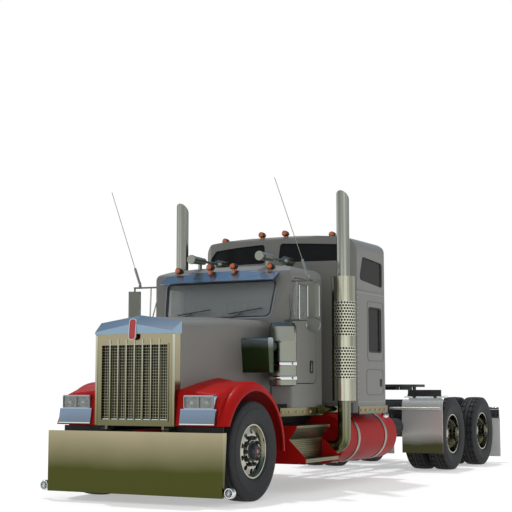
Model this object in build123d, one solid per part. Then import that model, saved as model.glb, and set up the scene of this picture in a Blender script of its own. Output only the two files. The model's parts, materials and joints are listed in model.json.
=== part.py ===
from build123d import *
from functools import cache
import math
import os

# A long-nose tractor unit with a sleeper, laid out from the front axle:
# X to its left side, Y towards the rear, Z up from the ground, millimetres.
# At the end everything moves so that the origin is under the middle of its length.

# Overall lengths
FRONT_OVERHANG = 760.0
WHEELBASE = 6636.0
TANDEM_SPACING = 1397.0
REAR_OVERHANG = 1514.0

# Tyres and wheels
TYRE_RADIUS = 527.0
TYRE_WIDTH = 280.0
RIM_RADIUS = 286.0
FRONT_TYRE_FACE = 1066.0
DUAL_TYRE_FACE = 1208.0
DUAL_SPACING = 343.0
HUB_RADIUS = 118.0
SPINDLE_RADIUS = 46.0
RUNNING_GAP = 0.3
HAND_HOLES = 10
HAND_HOLE_RADIUS = 27.0
HAND_HOLE_CIRCLE = 208.0

# Ladder frame
RAIL_HALF_WIDTH = 432.0
RAIL_FLANGE = 90.0
RAIL_WEB = 10.0
RAIL_TOP = 1000.0
RAIL_HEIGHT = 270.0
RAIL_FRONT = -585.0
RAIL_REAR_SETBACK = 16.0

# Bumper
BUMPER_HALF_WIDTH = 1087.0
BUMPER_BOTTOM = 92.0
BUMPER_TOP = 738.0
BUMPER_PLATE = 12.0
BUMPER_RETURN = 95.0

# Grille and hood
GRILLE_FACE = -715.0
GRILLE_BACK = -600.0
GRILLE_HALF_WIDTH = 498.0
GRILLE_BOTTOM = 796.0
GRILLE_TOP = 1756.0
OPENING_HALF_WIDTH = 412.0
OPENING_BOTTOM = 858.0
OPENING_TOP = 1640.0
GRILLE_BARS = 7
BAR_FOOT = 14.0
BAR_HEAD = 62.0
HOOD_REAR = 985.0
HOOD_BOTTOM = 1095.0
HOOD_WALL = 14.0
HOOD_PIVOT_Y = -680.0
HOOD_PIVOT_Z = 765.0
PIVOT_PIN_RADIUS = 18.0
PIVOT_X = 355.0

# Front fenders
ARCH_RADIUS = 632.0
FENDER_RADIUS = 733.0
FENDER_FACE = 1074.0
FENDER_INNER = GRILLE_HALF_WIDTH + 0.3
FENDER_BULLNOSE = 92.0
FENDER_SKIN = 14.0
FENDER_FRONT_BOTTOM = 800.0
FENDER_REAR_BOTTOM = 500.0

# Cab
CAB_HALF_WIDTH = 930.0
CAB_FRONT = 1000.0
CAB_REAR = 1960.0
CAB_SKIRT = 890.0
CAB_FLOOR = 1010.0
CAB_EAVE = 2600.0
CAB_RIDGE = 2715.0
CAB_WALL = 45.0
COWL_HALF_WIDTH = 735.0
COWL_HEIGHT = 1985.0
DOOR_FRONT = 1105.0
DOOR_REAR = 1780.0
DOOR_SILL = 1240.0
DOOR_HEAD = 2470.0
DOOR_GAP = 9.0
DOOR_BELT = 1965.0
HINGE_STANDOFF = 16.0
HINGE_PIN_RADIUS = 8.0
GLASS = 8.0
GLASS_DEPTH = 18.0

# Sleeper
SLEEPER_HALF_WIDTH = 1090.0
SLEEPER_FRONT = 2400.0
SLEEPER_REAR = 3600.0
SLEEPER_EAVE = 3090.0
SLEEPER_RIDGE = 3150.0
SLEEPER_WALL = 45.0
SLEEPER_BOW = 150.0

# Exhaust
STACK_X = 1149.0
STACK_Y = 2097.0
STACK_TOP = 3596.0
STACK_RADIUS = 79.0
SHIELD_RADIUS = 142.0
SHIELD_BOTTOM = 1040.0
SHIELD_TOP = 2540.0
ELBOW_Z = 480.0
ELBOW_RADIUS = 150.0

# Tanks and steps
TANK_RADIUS = 305.0
TANK_X = 795.0
TANK_Z = 580.0
TANK_FRONT = 2225.0
TANK_REAR = 3945.0
STEP_FRONT = 1090.0
STEP_REAR = 2000.0

# Fifth wheel
FIFTH_WHEEL_Y = WHEELBASE - 156.0
FIFTH_WHEEL_TOP = 1250.0
FIFTH_WHEEL_PIVOT_Z = 1135.0
KINGPIN_RADIUS = 26.0

FRONT_AXLE_Y = FRONT_OVERHANG - (FRONT_OVERHANG + WHEELBASE + REAR_OVERHANG) / 2
DRIVE_AXLES = (WHEELBASE - TANDEM_SPACING / 2, WHEELBASE + TANDEM_SPACING / 2)
KINGPIN_X = 870.0
AXLE_Z = TYRE_RADIUS
RAIL_BOTTOM = RAIL_TOP - RAIL_HEIGHT
RAIL_REAR = WHEELBASE + REAR_OVERHANG - RAIL_REAR_SETBACK


# Small makers of shapes

def block(x0, x1, y0, y1, z0, z1):
    centre = ((x0 + x1) / 2, (y0 + y1) / 2, (z0 + z1) / 2)
    return Pos(*centre) * Box(abs(x1 - x0), abs(y1 - y0), abs(z1 - z0))


def outline(points):
    """A closed face through (a, b) or (a, b, corner radius) points."""
    corners = [(p[0], p[1]) for p in points]
    radii = [p[2] if len(p) > 2 else 0 for p in points]
    if max(radii) == 0:
        return make_face(Polyline(*corners, close=True))
    return make_face(FilletPolyline(*corners, radius=radii, close=True))


def along_x(points, x0, x1):
    """An outline of (y, z) points drawn out from x0 to x1."""
    return extrude(Plane((x0, 0, 0), x_dir=(0, 1, 0), z_dir=(1, 0, 0)) * outline(points), x1 - x0)


def along_y(points, y0, y1):
    """An outline of (x, z) points drawn out from y0 to y1."""
    return extrude(Plane((0, y1, 0), x_dir=(1, 0, 0), z_dir=(0, -1, 0)) * outline(points), y1 - y0)


def along_z(points, z0, z1):
    """An outline of (x, y) points drawn out from z0 to z1."""
    return extrude(Plane((0, 0, z0)) * outline(points), z1 - z0)


def rod(start, end, radius):
    start, end = Vector(*start), Vector(*end)
    plane = Plane(start, z_dir=end - start)
    return extrude(plane * Circle(radius), (end - start).length)


def turned_x(points, y, z, arc=360, start=0):
    """A profile of (x, radius) points turned about the line along X at (y, z)."""
    profile = Plane((0, y, z), x_dir=(1, 0, 0), z_dir=(0, -1, 0)) * outline(points)
    axis = Axis((0, y, z), (1, 0, 0))
    return revolve(profile.rotate(axis, start), axis, arc)


def turned_y(points, x, z):
    """A profile of (y, radius) points turned about the line along Y at (x, z)."""
    profile = Plane((x, 0, z), x_dir=(0, 1, 0), z_dir=(1, 0, 0)) * outline(points)
    return revolve(profile, Axis((x, 0, z), (0, 1, 0)))


def turned_z(points, x, y):
    """A profile of (radius, z) points turned about the line along Z at (x, y)."""
    profile = Plane((x, y, 0), x_dir=(1, 0, 0), z_dir=(0, -1, 0)) * outline(points)
    return revolve(profile, Axis((x, y, 0), (0, 0, 1)))


def right_of(shape):
    return mirror(shape, about=Plane.YZ)


def both_sides(shape):
    return [shape, right_of(shape)]


# Chassis

def frame_rails():
    web = RAIL_HALF_WIDTH - RAIL_WEB
    lip = RAIL_HALF_WIDTH - RAIL_FLANGE
    channel = along_y([(lip, RAIL_TOP), (RAIL_HALF_WIDTH, RAIL_TOP), (RAIL_HALF_WIDTH, RAIL_BOTTOM),
                       (lip, RAIL_BOTTOM), (lip, RAIL_BOTTOM + RAIL_WEB), (web, RAIL_BOTTOM + RAIL_WEB),
                       (web, RAIL_TOP - RAIL_WEB), (lip, RAIL_TOP - RAIL_WEB)], RAIL_FRONT, RAIL_REAR)
    back = -FRONT_OVERHANG + BUMPER_PLATE
    drop = along_x([(back, 300), (back, 690), (back + 55, 690), (back + 75, 740), (RAIL_FRONT, 770), (RAIL_FRONT + 60, 840),
                    (RAIL_FRONT + 260, 840), (RAIL_FRONT + 260, RAIL_BOTTOM), (back + 70, 520), (back + 70, 300)],
                   RAIL_HALF_WIDTH, RAIL_HALF_WIDTH + 16)
    y, z = HOOD_PIVOT_Y, HOOD_PIVOT_Z
    horn = along_x([(y - 25, z - 25, 24), (RAIL_FRONT + 60, RAIL_BOTTOM), (RAIL_FRONT + 60, z + 25),
                    (y - 25, z + 25, 24)], PIVOT_X + 17, web + 2)
    pin = rod((PIVOT_X - 20, y, z), (PIVOT_X + 20, y, z), PIVOT_PIN_RADIUS)
    return both_sides(channel + drop + horn + pin)


CROSSMEMBERS = (-480.0, 2010.0, 3000.0, 4000.0, 5000.0, WHEELBASE, RAIL_REAR - 70)

# Splash panels between the bumper and the fenders
SPLASH_X = 1000.0
SPLASH_Y = -565.0
SPLASH_Z = (690.0, 790.0)


def crossmembers():
    """Channels between the rails, and the splash panels beside their front ends."""
    web = RAIL_HALF_WIDTH - RAIL_WEB
    low, high = RAIL_TOP - 125, RAIL_TOP - RAIL_WEB
    bars = []
    for y in CROSSMEMBERS:
        bar = block(-web, web, y - 50, y + 50, low, high)
        bar -= block(-web + 40, web - 40, y - 60, y + 38, low + 12, high - 12)
        bars.append(bar)
    drop_face = RAIL_HALF_WIDTH + 16 + RUNNING_GAP
    bars += both_sides(block(drop_face, SPLASH_X, SPLASH_Y - 10, SPLASH_Y, SPLASH_Z[0], SPLASH_Z[1]))
    return bars


def front_bumper():
    """Deep square-ended bumper: a flat face with end returns that are cut back at the bottom."""
    face = -FRONT_OVERHANG
    shell = along_z([(-BUMPER_HALF_WIDTH, face + BUMPER_RETURN), (-BUMPER_HALF_WIDTH, face, 22),
                     (BUMPER_HALF_WIDTH, face, 22), (BUMPER_HALF_WIDTH, face + BUMPER_RETURN),
                     (BUMPER_HALF_WIDTH - BUMPER_PLATE, face + BUMPER_RETURN),
                     (BUMPER_HALF_WIDTH - BUMPER_PLATE, face + BUMPER_PLATE, 10),
                     (-BUMPER_HALF_WIDTH + BUMPER_PLATE, face + BUMPER_PLATE, 10),
                     (-BUMPER_HALF_WIDTH + BUMPER_PLATE, face + BUMPER_RETURN)],
                    BUMPER_BOTTOM, BUMPER_TOP)
    lip = block(-BUMPER_HALF_WIDTH + BUMPER_PLATE, BUMPER_HALF_WIDTH - BUMPER_PLATE,
                face + BUMPER_PLATE, face + 50, BUMPER_TOP - BUMPER_PLATE, BUMPER_TOP)
    back_cut = along_x([(face + BUMPER_RETURN, BUMPER_TOP - 60), (face + BUMPER_RETURN + 20, BUMPER_TOP - 60),
                        (face + BUMPER_RETURN + 20, BUMPER_BOTTOM - 5), (face + 45, BUMPER_BOTTOM - 5)],
                       -BUMPER_HALF_WIDTH - 5, BUMPER_HALF_WIDTH + 5)
    return [shell + lip - back_cut]


GEARBOX_REAR = 1900.0
GEARBOX_Z = 815.0


def engine():
    """Engine with its gearbox as plain masses, and the radiator that shows through the grille."""
    crankcase = along_y([(-230, 780), (230, 780), (330, 1000), (330, 1560), (250, 1680),
                         (-250, 1680), (-330, 1560), (-330, 1000)], -330, 900)
    gearbox = turned_y([(890, 0), (890, 285), (970, 270), (1000, 185), (GEARBOX_REAR, 150), (GEARBOX_REAR, 0)],
                       0, GEARBOX_Z)
    mounts = block(-RAIL_HALF_WIDTH + RAIL_WEB, RAIL_HALF_WIDTH - RAIL_WEB, 560, 680, 800, 960)
    radiator = block(-395, 395, -560, -420, RAIL_TOP, 1700)
    return [crankcase + gearbox + mounts, radiator]


# Front axle

BEAM_DEPTH = 110.0
BEAM_HALF = 48.0
SPRING_X = RAIL_HALF_WIDTH - RAIL_FLANGE / 2
SPRING_HALF = 42.0
SPRING_EYE_Y = 620.0


def front_axle():
    """Dropped beam with its eyes for the kingpins, on two leaf packs hung from the rails."""
    half = [(0, 415), (330, 415), (470, 420), (690, 482), (KINGPIN_X - 40, AXLE_Z - 50),
            (KINGPIN_X - 40, AXLE_Z + 50), (690, 545), (470, 420 + BEAM_DEPTH), (330, 415 + BEAM_DEPTH),
            (0, 415 + BEAM_DEPTH)]
    beam_left = along_y(half, -BEAM_HALF, BEAM_HALF)
    eye = Pos(KINGPIN_X, 0, AXLE_Z) * Cylinder(58, 100)
    eye -= Pos(KINGPIN_X, 0, AXLE_Z) * Cylinder(24 + RUNNING_GAP, 120)
    seat = 415 + BEAM_DEPTH
    pad = block(SPRING_X - 60, SPRING_X + 60, -75, 75, seat - 20, seat + 30)
    leaf = Plane((SPRING_X - SPRING_HALF, 0, 0), x_dir=(0, 1, 0), z_dir=(1, 0, 0)) * make_face(
        [ThreePointArc((-SPRING_EYE_Y, 670), (0, seat + 20), (SPRING_EYE_Y, 670)),
         Line((SPRING_EYE_Y, 670), (SPRING_EYE_Y, 700)),
         ThreePointArc((SPRING_EYE_Y, 700), (0, seat + 92), (-SPRING_EYE_Y, 700)),
         Line((-SPRING_EYE_Y, 700), (-SPRING_EYE_Y, 670))])
    pack = extrude(leaf, 2 * SPRING_HALF)
    hangers = [along_x([(y - 40, 660), (y + 40, 660), (y + 55, RAIL_BOTTOM), (y - 55, RAIL_BOTTOM)],
                       SPRING_X - SPRING_HALF - 2, SPRING_X + SPRING_HALF + 2)
               for y in (-SPRING_EYE_Y + 30, SPRING_EYE_Y - 30)]
    left = beam_left + eye - Pos(KINGPIN_X, 0, AXLE_Z) * Cylinder(24 + RUNNING_GAP, 200)
    left = left + pad + pack + hangers
    return [left + right_of(left)]


ARM_X = KINGPIN_X
ARM_Y = 125.0
ARM_Z = AXLE_Z - 95.0
TIE_ROD_Z = ARM_Z - 23.0
BALL_RADIUS = 15.0


def knuckle_left():
    """Yoke and kingpin round the beam's eye, the wheel's spindle and the track rod's arm."""
    pin = Pos(KINGPIN_X, 0, AXLE_Z) * Cylinder(24, 190)
    ears = [block(KINGPIN_X - 55, KINGPIN_X + 62, -50, 50, z0, z1)
            for z0, z1 in ((AXLE_Z + 50 + RUNNING_GAP, AXLE_Z + 95), (AXLE_Z - 95, AXLE_Z - 50 - RUNNING_GAP))]
    plate = block(KINGPIN_X + 62, KINGPIN_X + 82, -80, 80, AXLE_Z - 95, AXLE_Z + 95)
    spindle = rod((KINGPIN_X + 80, 0, AXLE_Z), (FRONT_TYRE_FACE - 62, 0, AXLE_Z), SPINDLE_RADIUS)
    arm = along_z([(KINGPIN_X - 20, 40), (KINGPIN_X + 40, 40), (ARM_X + 26, ARM_Y + 20, 20),
                   (ARM_X - 26, ARM_Y + 20, 20), (ARM_X - 26, ARM_Y - 40)], ARM_Z, ARM_Z + 30)
    stud = Pos(ARM_X, ARM_Y, TIE_ROD_Z + 1) * Cylinder(BALL_RADIUS, 46)
    return [pin + ears + plate + spindle + arm + stud]


def knuckle_right():
    return [right_of(knuckle_left()[0])]


def tie_rod():
    """Track rod between the two knuckle arms, with an eye round each arm's stud."""
    z = TIE_ROD_Z
    tube = rod((-ARM_X + 20, ARM_Y, z), (ARM_X - 20, ARM_Y, z), 19)
    eyes = [Pos(side * ARM_X, ARM_Y, z) * Cylinder(30, 36) for side in (-1, 1)]
    holes = [Pos(side * ARM_X, ARM_Y, z) * Cylinder(BALL_RADIUS + RUNNING_GAP, 60) for side in (-1, 1)]
    return [tube + eyes - holes]


# Wheels: profiles are (distance outboard of the tyre's middle, radius)

def tyre_ring(centre_x, y):
    half, crown, bead = TYRE_WIDTH / 2, TYRE_RADIUS, RIM_RADIUS
    section = [(centre_x - half + 22, crown, 20), (centre_x + half - 22, crown, 20),
               (centre_x + half, crown - 95, 60), (centre_x + half - 34, bead),
               (centre_x - half + 34, bead), (centre_x - half, crown - 95, 60)]
    return turned_x(section, y, AXLE_Z)


def wheel_holes(x0, x1, y):
    holes = []
    for i in range(HAND_HOLES):
        turn = 2 * math.pi * (i + 0.5) / HAND_HOLES
        spot_y = y + HAND_HOLE_CIRCLE * math.cos(turn)
        spot_z = AXLE_Z + HAND_HOLE_CIRCLE * math.sin(turn)
        holes.append(rod((x0, spot_y, spot_z), (x1, spot_y, spot_z), HAND_HOLE_RADIUS))
    return holes


RIM_HALF = TYRE_WIDTH / 2 - 30
RIM_WALL = 16.0


def rim_barrel(centre_x, y):
    seat, wall = RIM_RADIUS - RUNNING_GAP, RIM_RADIUS - RIM_WALL
    return turned_x([(centre_x - RIM_HALF, wall), (centre_x + RIM_HALF, wall),
                     (centre_x + RIM_HALF, seat), (centre_x - RIM_HALF, seat)], y, AXLE_Z)


def front_tyre_left():
    return [tyre_ring(FRONT_TYRE_FACE - TYRE_WIDTH / 2, 0)]


def front_tyre_right():
    return [right_of(front_tyre_left()[0])]


def front_wheel_left():
    """Polished disc wheel: the disc bows outwards and the hub stands out of it."""
    middle = FRONT_TYRE_FACE - TYRE_WIDTH / 2
    wall = RIM_RADIUS - RIM_WALL / 2
    disc = turned_x([(middle + 20, wall), (middle + 66, wall - 8), (middle + 90, 186, 30),
                     (middle + 82, HUB_RADIUS - 10), (middle + 58, HUB_RADIUS - 10), (middle + 62, 178, 30)],
                    0, AXLE_Z)
    disc -= wheel_holes(middle, middle + 120, 0)
    hub = turned_x([(middle + 28, SPINDLE_RADIUS + RUNNING_GAP), (middle + 28, HUB_RADIUS), (middle + 98, HUB_RADIUS),
                    (middle + 106, 84), (middle + 134, 76, 10), (middle + 134, 0),
                    (middle + 92, 0), (middle + 92, SPINDLE_RADIUS + RUNNING_GAP)], 0, AXLE_Z)
    return [rim_barrel(middle, 0) + disc + hub]


def front_wheel_right():
    return [right_of(front_wheel_left()[0])]


def dual_tyres():
    outer = DUAL_TYRE_FACE - TYRE_WIDTH / 2
    return [tyre_ring(outer, 0), tyre_ring(outer - DUAL_SPACING, 0)]


def dual_wheel():
    """Two rims whose discs meet back to back, so that the outer one is deeply dished."""
    outer = DUAL_TYRE_FACE - TYRE_WIDTH / 2
    inner = outer - DUAL_SPACING
    joint = (outer + inner) / 2
    wall = RIM_RADIUS - RIM_WALL / 2
    disc = turned_x([(joint - 75, wall), (joint + 75, wall), (joint + 24, 190, 25), (joint + 24, HUB_RADIUS - 10),
                     (joint - 24, HUB_RADIUS - 10), (joint - 24, 190, 25)], 0, AXLE_Z)
    disc -= wheel_holes(joint - 120, joint + 120, 0)
    hub = turned_x([(inner - 70, SPINDLE_RADIUS + RUNNING_GAP), (inner - 70, HUB_RADIUS + 22),
                    (joint + 30, HUB_RADIUS), (joint + 120, 104), (joint + 138, 80, 14), (joint + 170, 74, 12),
                    (joint + 170, 0), (joint + 100, 0), (joint + 100, SPINDLE_RADIUS + RUNNING_GAP)], 0, AXLE_Z)
    return [rim_barrel(outer, 0) + rim_barrel(inner, 0) + disc + hub]


# Drive axles and their suspension

HOUSING_RADIUS = 62.0
DIFF_RADIUS = 215.0
SHAFT_RADIUS = 55.0
AIR_BAG_RADIUS = 110.0


def rear_axles():
    """Two banjo housings with their shafts, trailing arms and air springs under the rails."""
    outer = DUAL_TYRE_FACE - TYRE_WIDTH / 2
    joint = outer - DUAL_SPACING / 2
    spring_x = RAIL_HALF_WIDTH - RAIL_FLANGE / 2
    pieces = []
    for y in DRIVE_AXLES:
        pieces.append(rod((-joint + 75, y, AXLE_Z), (joint - 75, y, AXLE_Z), SPINDLE_RADIUS))
        pieces.append(rod((-outer + DUAL_SPACING + 90, y, AXLE_Z), (outer - DUAL_SPACING - 90, y, AXLE_Z),
                          HOUSING_RADIUS))
        pieces.append(turned_x([(-150, 0), (-150, 120), (-70, DIFF_RADIUS), (70, DIFF_RADIUS),
                                (150, 120), (150, 0)], y, AXLE_Z))
        pieces.append(turned_y([(y - 330, 0), (y - 330, 70), (y - 180, 120), (y, 120), (y, 0)], 0, AXLE_Z + 40))
        for side in (-1, 1):
            x = side * spring_x
            pieces.append(along_x([(y - 560, RAIL_BOTTOM), (y - 440, RAIL_BOTTOM), (y - 450, AXLE_Z + 110),
                                   (y + 60, AXLE_Z + 70), (y + 400, AXLE_Z - 30), (y + 400, AXLE_Z - 90),
                                   (y - 60, AXLE_Z - 25), (y - 480, AXLE_Z + 20), (y - 540, AXLE_Z + 70)],
                                  x - 38, x + 38))
            pieces.append(turned_z([(0, AXLE_Z - 90), (AIR_BAG_RADIUS - 30, AXLE_Z - 90),
                                    (AIR_BAG_RADIUS, AXLE_Z), (AIR_BAG_RADIUS, RAIL_BOTTOM - 50),
                                    (AIR_BAG_RADIUS - 25, RAIL_BOTTOM), (0, RAIL_BOTTOM)], x, y + 330))
    shaft = rod((0, GEARBOX_REAR - 30, GEARBOX_Z), (0, DRIVE_AXLES[0] - 320, AXLE_Z + 40), SHAFT_RADIUS)
    pieces.append(shaft - block(-200, 200, 0, GEARBOX_REAR + RUNNING_GAP, 500, 1000))
    pieces.append(rod((0, DRIVE_AXLES[0], AXLE_Z + 40), (0, DRIVE_AXLES[1] - 320, AXLE_Z + 40), SHAFT_RADIUS))
    whole = pieces[0]
    for piece in pieces[1:]:
        whole = whole + piece
    return [whole]


# Hood, which tilts forwards in one piece with the fenders and the grille

# Columns: place along Y, half width, eave height, ridge height
HOOD_SECTIONS = (
    (GRILLE_BACK, 500.0, 1880.0, 1950.0),
    (HOOD_REAR, 722.0, 1960.0, 2022.0),
)
HOOD_CORNER = 95.0
HOOD_CROWN = 700.0


@cache
def hood_body(inset):
    """The hood's form, drawn inwards by inset."""
    faces = []
    for y, half, eave, ridge in HOOD_SECTIONS:
        half, eave, ridge = half - inset, eave - inset, ridge - inset
        section = outline([(-half, HOOD_BOTTOM), (-half, eave, HOOD_CORNER - inset), (0, ridge, HOOD_CROWN),
                           (half, eave, HOOD_CORNER - inset), (half, HOOD_BOTTOM)])
        faces.append(Plane((0, y, 0), x_dir=(1, 0, 0), z_dir=(0, -1, 0)) * section)
    return loft(faces, ruled=True)


def hood_shell():
    shell = hood_body(0) - hood_body(HOOD_WALL)
    return [shell]


# Columns: place along Y, height, on the hood's side and then on the outer shoulder
FENDER_PONTOON = (
    ((-700.0, 800.0), (-692.0, 800.0)),
    ((-640.0, 1168.0), (-622.0, 1120.0)),
    ((-320.0, 1245.0), (-330.0, 1212.0)),
    ((50.0, 1322.0), (0.0, 1240.0)),
    ((300.0, 1290.0), (250.0, 1215.0)),
    ((560.0, 1100.0), (500.0, 1060.0)),
)
PONTOON_RADII = (0.0, 70.0, 600.0, 600.0, 300.0, 0.0)
# Columns: place along X, drop below the outer shoulder's outline
SHOULDER = ((925.0, 0.0), (958.0, 12.0), (978.0, 34.0), (985.0, 62.0))


def pontoon(inset):
    """The fender's body between the hood and the wheel's arch, drawn inwards by inset."""
    faces = []
    sections = [(FENDER_INNER, 0, 0.0)] + [(x - inset, 1, drop) for x, drop in SHOULDER]
    for x, side, drop in sections:
        top = []
        for i, (row, radius) in enumerate(zip(FENDER_PONTOON, PONTOON_RADII)):
            y, z = row[side]
            y += inset + 0.6 * drop if i < 2 else 0
            z -= inset + drop if i > 0 else -1
            top.append((y, z, max(radius - inset, 0)))
        floor = [(560.0, 900.0), (-560.0, 800.0 if inset == 0 else 801.0)]
        faces.append(Plane((x, 0, 0), x_dir=(0, 1, 0), z_dir=(1, 0, 0)) * outline(top + floor))
    return loft(faces, ruled=True)


@cache
def fender_left():
    """A bullnosed arch round the tyre, with the pontoon that carries the lamps in front of it."""
    start = math.degrees(math.asin((FENDER_FRONT_BOTTOM - AXLE_Z) / FENDER_RADIUS))
    skin = FENDER_SKIN
    section = [(FENDER_INNER, FENDER_RADIUS - skin), (FENDER_INNER, FENDER_RADIUS),
               (FENDER_FACE, FENDER_RADIUS, FENDER_BULLNOSE), (FENDER_FACE, ARCH_RADIUS),
               (FENDER_FACE - skin, ARCH_RADIUS), (FENDER_FACE - skin, FENDER_RADIUS - skin, FENDER_BULLNOSE - skin)]
    ring = turned_x(section, 0, AXLE_Z)
    window = block(0, 2000, -1000, 1000, FENDER_REAR_BOTTOM, 2000) - block(
        0, 2000, -1000, 0, 0, FENDER_FRONT_BOTTOM)
    arch = ring & window
    nose = pontoon(0) - pontoon(FENDER_SKIN)
    nose -= rod((0, 0, AXLE_Z), (2000, 0, AXLE_Z), FENDER_RADIUS - skin)
    return largest(arch + nose - hood_body(0))


def front_fenders():
    return both_sides(fender_left())


def grille_shell():
    """Chrome surround with its peaked crown."""
    frame = block(-GRILLE_HALF_WIDTH, GRILLE_HALF_WIDTH, GRILLE_FACE, GRILLE_BACK, GRILLE_BOTTOM, GRILLE_TOP)
    frame -= block(-OPENING_HALF_WIDTH, OPENING_HALF_WIDTH, GRILLE_FACE - 5, GRILLE_BACK + 5,
                   OPENING_BOTTOM, OPENING_TOP)
    front = outline([(-486, GRILLE_TOP), (-486, 1782), (0, 1866), (486, 1782), (486, GRILLE_TOP)])
    rear = outline([(-512, GRILLE_TOP), (-512, 1888), (0, 1960), (512, 1888), (512, GRILLE_TOP)])
    crown = loft([Plane((0, y, 0), x_dir=(1, 0, 0), z_dir=(0, -1, 0)) * face
                  for y, face in ((GRILLE_FACE - 35, front), (GRILLE_BACK, rear))], ruled=True)
    y, z = HOOD_PIVOT_Y, HOOD_PIVOT_Z
    ear = along_x([(y - 30, GRILLE_BOTTOM + 10), (y - 30, z - 30, 29), (y + 30, z - 30, 29),
                   (y + 30, GRILLE_BOTTOM + 10)], PIVOT_X - 15, PIVOT_X + 15)
    ear -= rod((PIVOT_X - 40, y, z), (PIVOT_X + 40, y, z), PIVOT_PIN_RADIUS + RUNNING_GAP)
    return [frame + crown + ear + right_of(ear)]


def grille_bars():
    """Seven upright bars and the fine mesh behind them."""
    step = 2 * OPENING_HALF_WIDTH / (GRILLE_BARS + 1)
    mesh = block(-OPENING_HALF_WIDTH + 0.3, OPENING_HALF_WIDTH - 0.3, GRILLE_BACK - 45, GRILLE_BACK - 35,
                 OPENING_BOTTOM + 0.3, OPENING_TOP - 0.3)
    bars = mesh
    for i in range(GRILLE_BARS):
        x = -OPENING_HALF_WIDTH + step * (i + 1)
        face = GRILLE_FACE - RUNNING_GAP
        bars = bars + block(x - 8, x + 8, face - 4, GRILLE_BACK - 40, OPENING_BOTTOM + 0.3, OPENING_TOP - 0.3)
        bars = bars + along_z([(x - 8, face), (x - 8, face - 9), (x, face - 17), (x + 8, face - 9), (x + 8, face)],
                              OPENING_BOTTOM - BAR_FOOT, OPENING_TOP + BAR_HEAD)
    return [bars]


LAMP_X = (588.0, 950.0)
LAMP_Z = (972.0, 1116.0)
LAMP_FACE = -684.0


def headlamps():
    """Chrome double lamp housing and the bright panel under it, set on the fender's front."""
    x0, x1 = LAMP_X
    z0, z1 = LAMP_Z
    housing = along_y([(x0, z0, 18), (x1, z0, 18), (x1, z1, 18), (x0, z1, 18)], LAMP_FACE, -590)
    split = (x0 + x1) / 2
    for a, b in ((x0 + 14, split - 7), (split + 7, x1 - 14)):
        housing -= along_y([(a, z0 + 14, 10), (b, z0 + 14, 10), (b, z1 - 14, 10), (a, z1 - 14, 10)],
                           LAMP_FACE - 5, LAMP_FACE + 12)
    panel = along_x([(-722, 812), (-696, z0 - 6), (-696, z0 + 4), (-600, z0 + 4), (-600, 812)], x0 - 30, x1 + 24)
    lamp = (housing + panel) - pontoon(0) - fender_left() - grille_shell()[0]
    return both_sides(largest(lamp))


def largest(shape):
    return max(shape.solids(), key=lambda solid: solid.volume)


def intake_scoops():
    """Polished ram scoops on the hood's sides, each with a round neck towards its air cleaner."""
    scoop = along_x([(430, 1745, 30), (560, 1745, 30), (560, 1360), (470, 1360)], 600, 985)
    neck = rod((900, 555, 1650), (900, 690, 1650), 62)
    return both_sides(largest(scoop + neck - hood_body(0)))


# Cab

# The plan stands a little outside the sides, so that its rounded corners meet them at an edge
EASE = 3.0
OVER = 40.0
EAVE_RADIUS = 150.0


@cache
def cab_body(inset):
    """The cab's form, drawn inwards by inset: front view, side view and plan together."""
    half, floor = CAB_HALF_WIDTH - inset, CAB_FLOOR + inset if inset else CAB_SKIRT
    front, rear = CAB_FRONT + inset, CAB_REAR - inset
    eave, ridge = CAB_EAVE - inset, CAB_RIDGE - inset
    front_view = along_y([(-half, floor - OVER), (-half, eave, EAVE_RADIUS - inset), (0, ridge, 2500),
                          (half, eave, EAVE_RADIUS - inset), (half, floor - OVER)], front - OVER, rear + OVER)
    side_view = along_x([(front, floor), (front, COWL_HEIGHT), (front + 112, 2450), (front + 135, 2560 - inset, 40),
                         (front + 420, 2650 - inset, 300), (rear, ridge + 5), (rear, floor)],
                        -half - OVER, half + OVER)
    corner = half - (CAB_HALF_WIDTH - COWL_HALF_WIDTH)
    side, back = half + EASE, rear + EASE
    plan = along_z([(-corner, front - EASE), (corner, front - EASE), (side, front + 125, 60), (side, back, 50),
                    (-side, back, 50), (-side, front + 125, 60)], floor - OVER, ridge + OVER)
    return front_view & side_view & plan


WINDSHIELD = [(-700.0, 2003.0, 60.0), (700.0, 2003.0, 60.0), (742.0, 2440.0, 60.0), (-742.0, 2440.0, 60.0)]
WALK_THROUGH = [(-420.0, 1150.0, 30.0), (420.0, 1150.0, 30.0), (420.0, 2280.0, 30.0), (-420.0, 2280.0, 30.0)]


def inset_outline(points, gap):
    """The outline drawn towards its own middle by gap on each side."""
    mid_a = sum(p[0] for p in points) / len(points)
    mid_b = sum(p[1] for p in points) / len(points)
    return [(p[0] - math.copysign(gap, p[0] - mid_a), p[1] - math.copysign(gap, p[1] - mid_b), *p[2:])
            for p in points]


DOOR = [(DOOR_FRONT, DOOR_SILL, 60.0), (DOOR_REAR, DOOR_SILL, 90.0), (DOOR_REAR, DOOR_HEAD, 60.0),
        (DOOR_FRONT + 85, DOOR_HEAD, 40.0), (DOOR_FRONT, DOOR_BELT, 60.0)]
DOOR_WINDOW = [(DOOR_FRONT + 70, DOOR_BELT + 15, 40.0), (DOOR_REAR - 60, DOOR_BELT + 15, 40.0),
               (DOOR_REAR - 60, DOOR_HEAD - 65, 40.0), (DOOR_FRONT + 140, DOOR_HEAD - 65, 40.0)]
HINGE_X = CAB_HALF_WIDTH + HINGE_STANDOFF
HINGE_Y = DOOR_FRONT - 4
HINGES = (1400.0, 1630.0, 1860.0)
HINGE_HALF = 35.0


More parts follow.
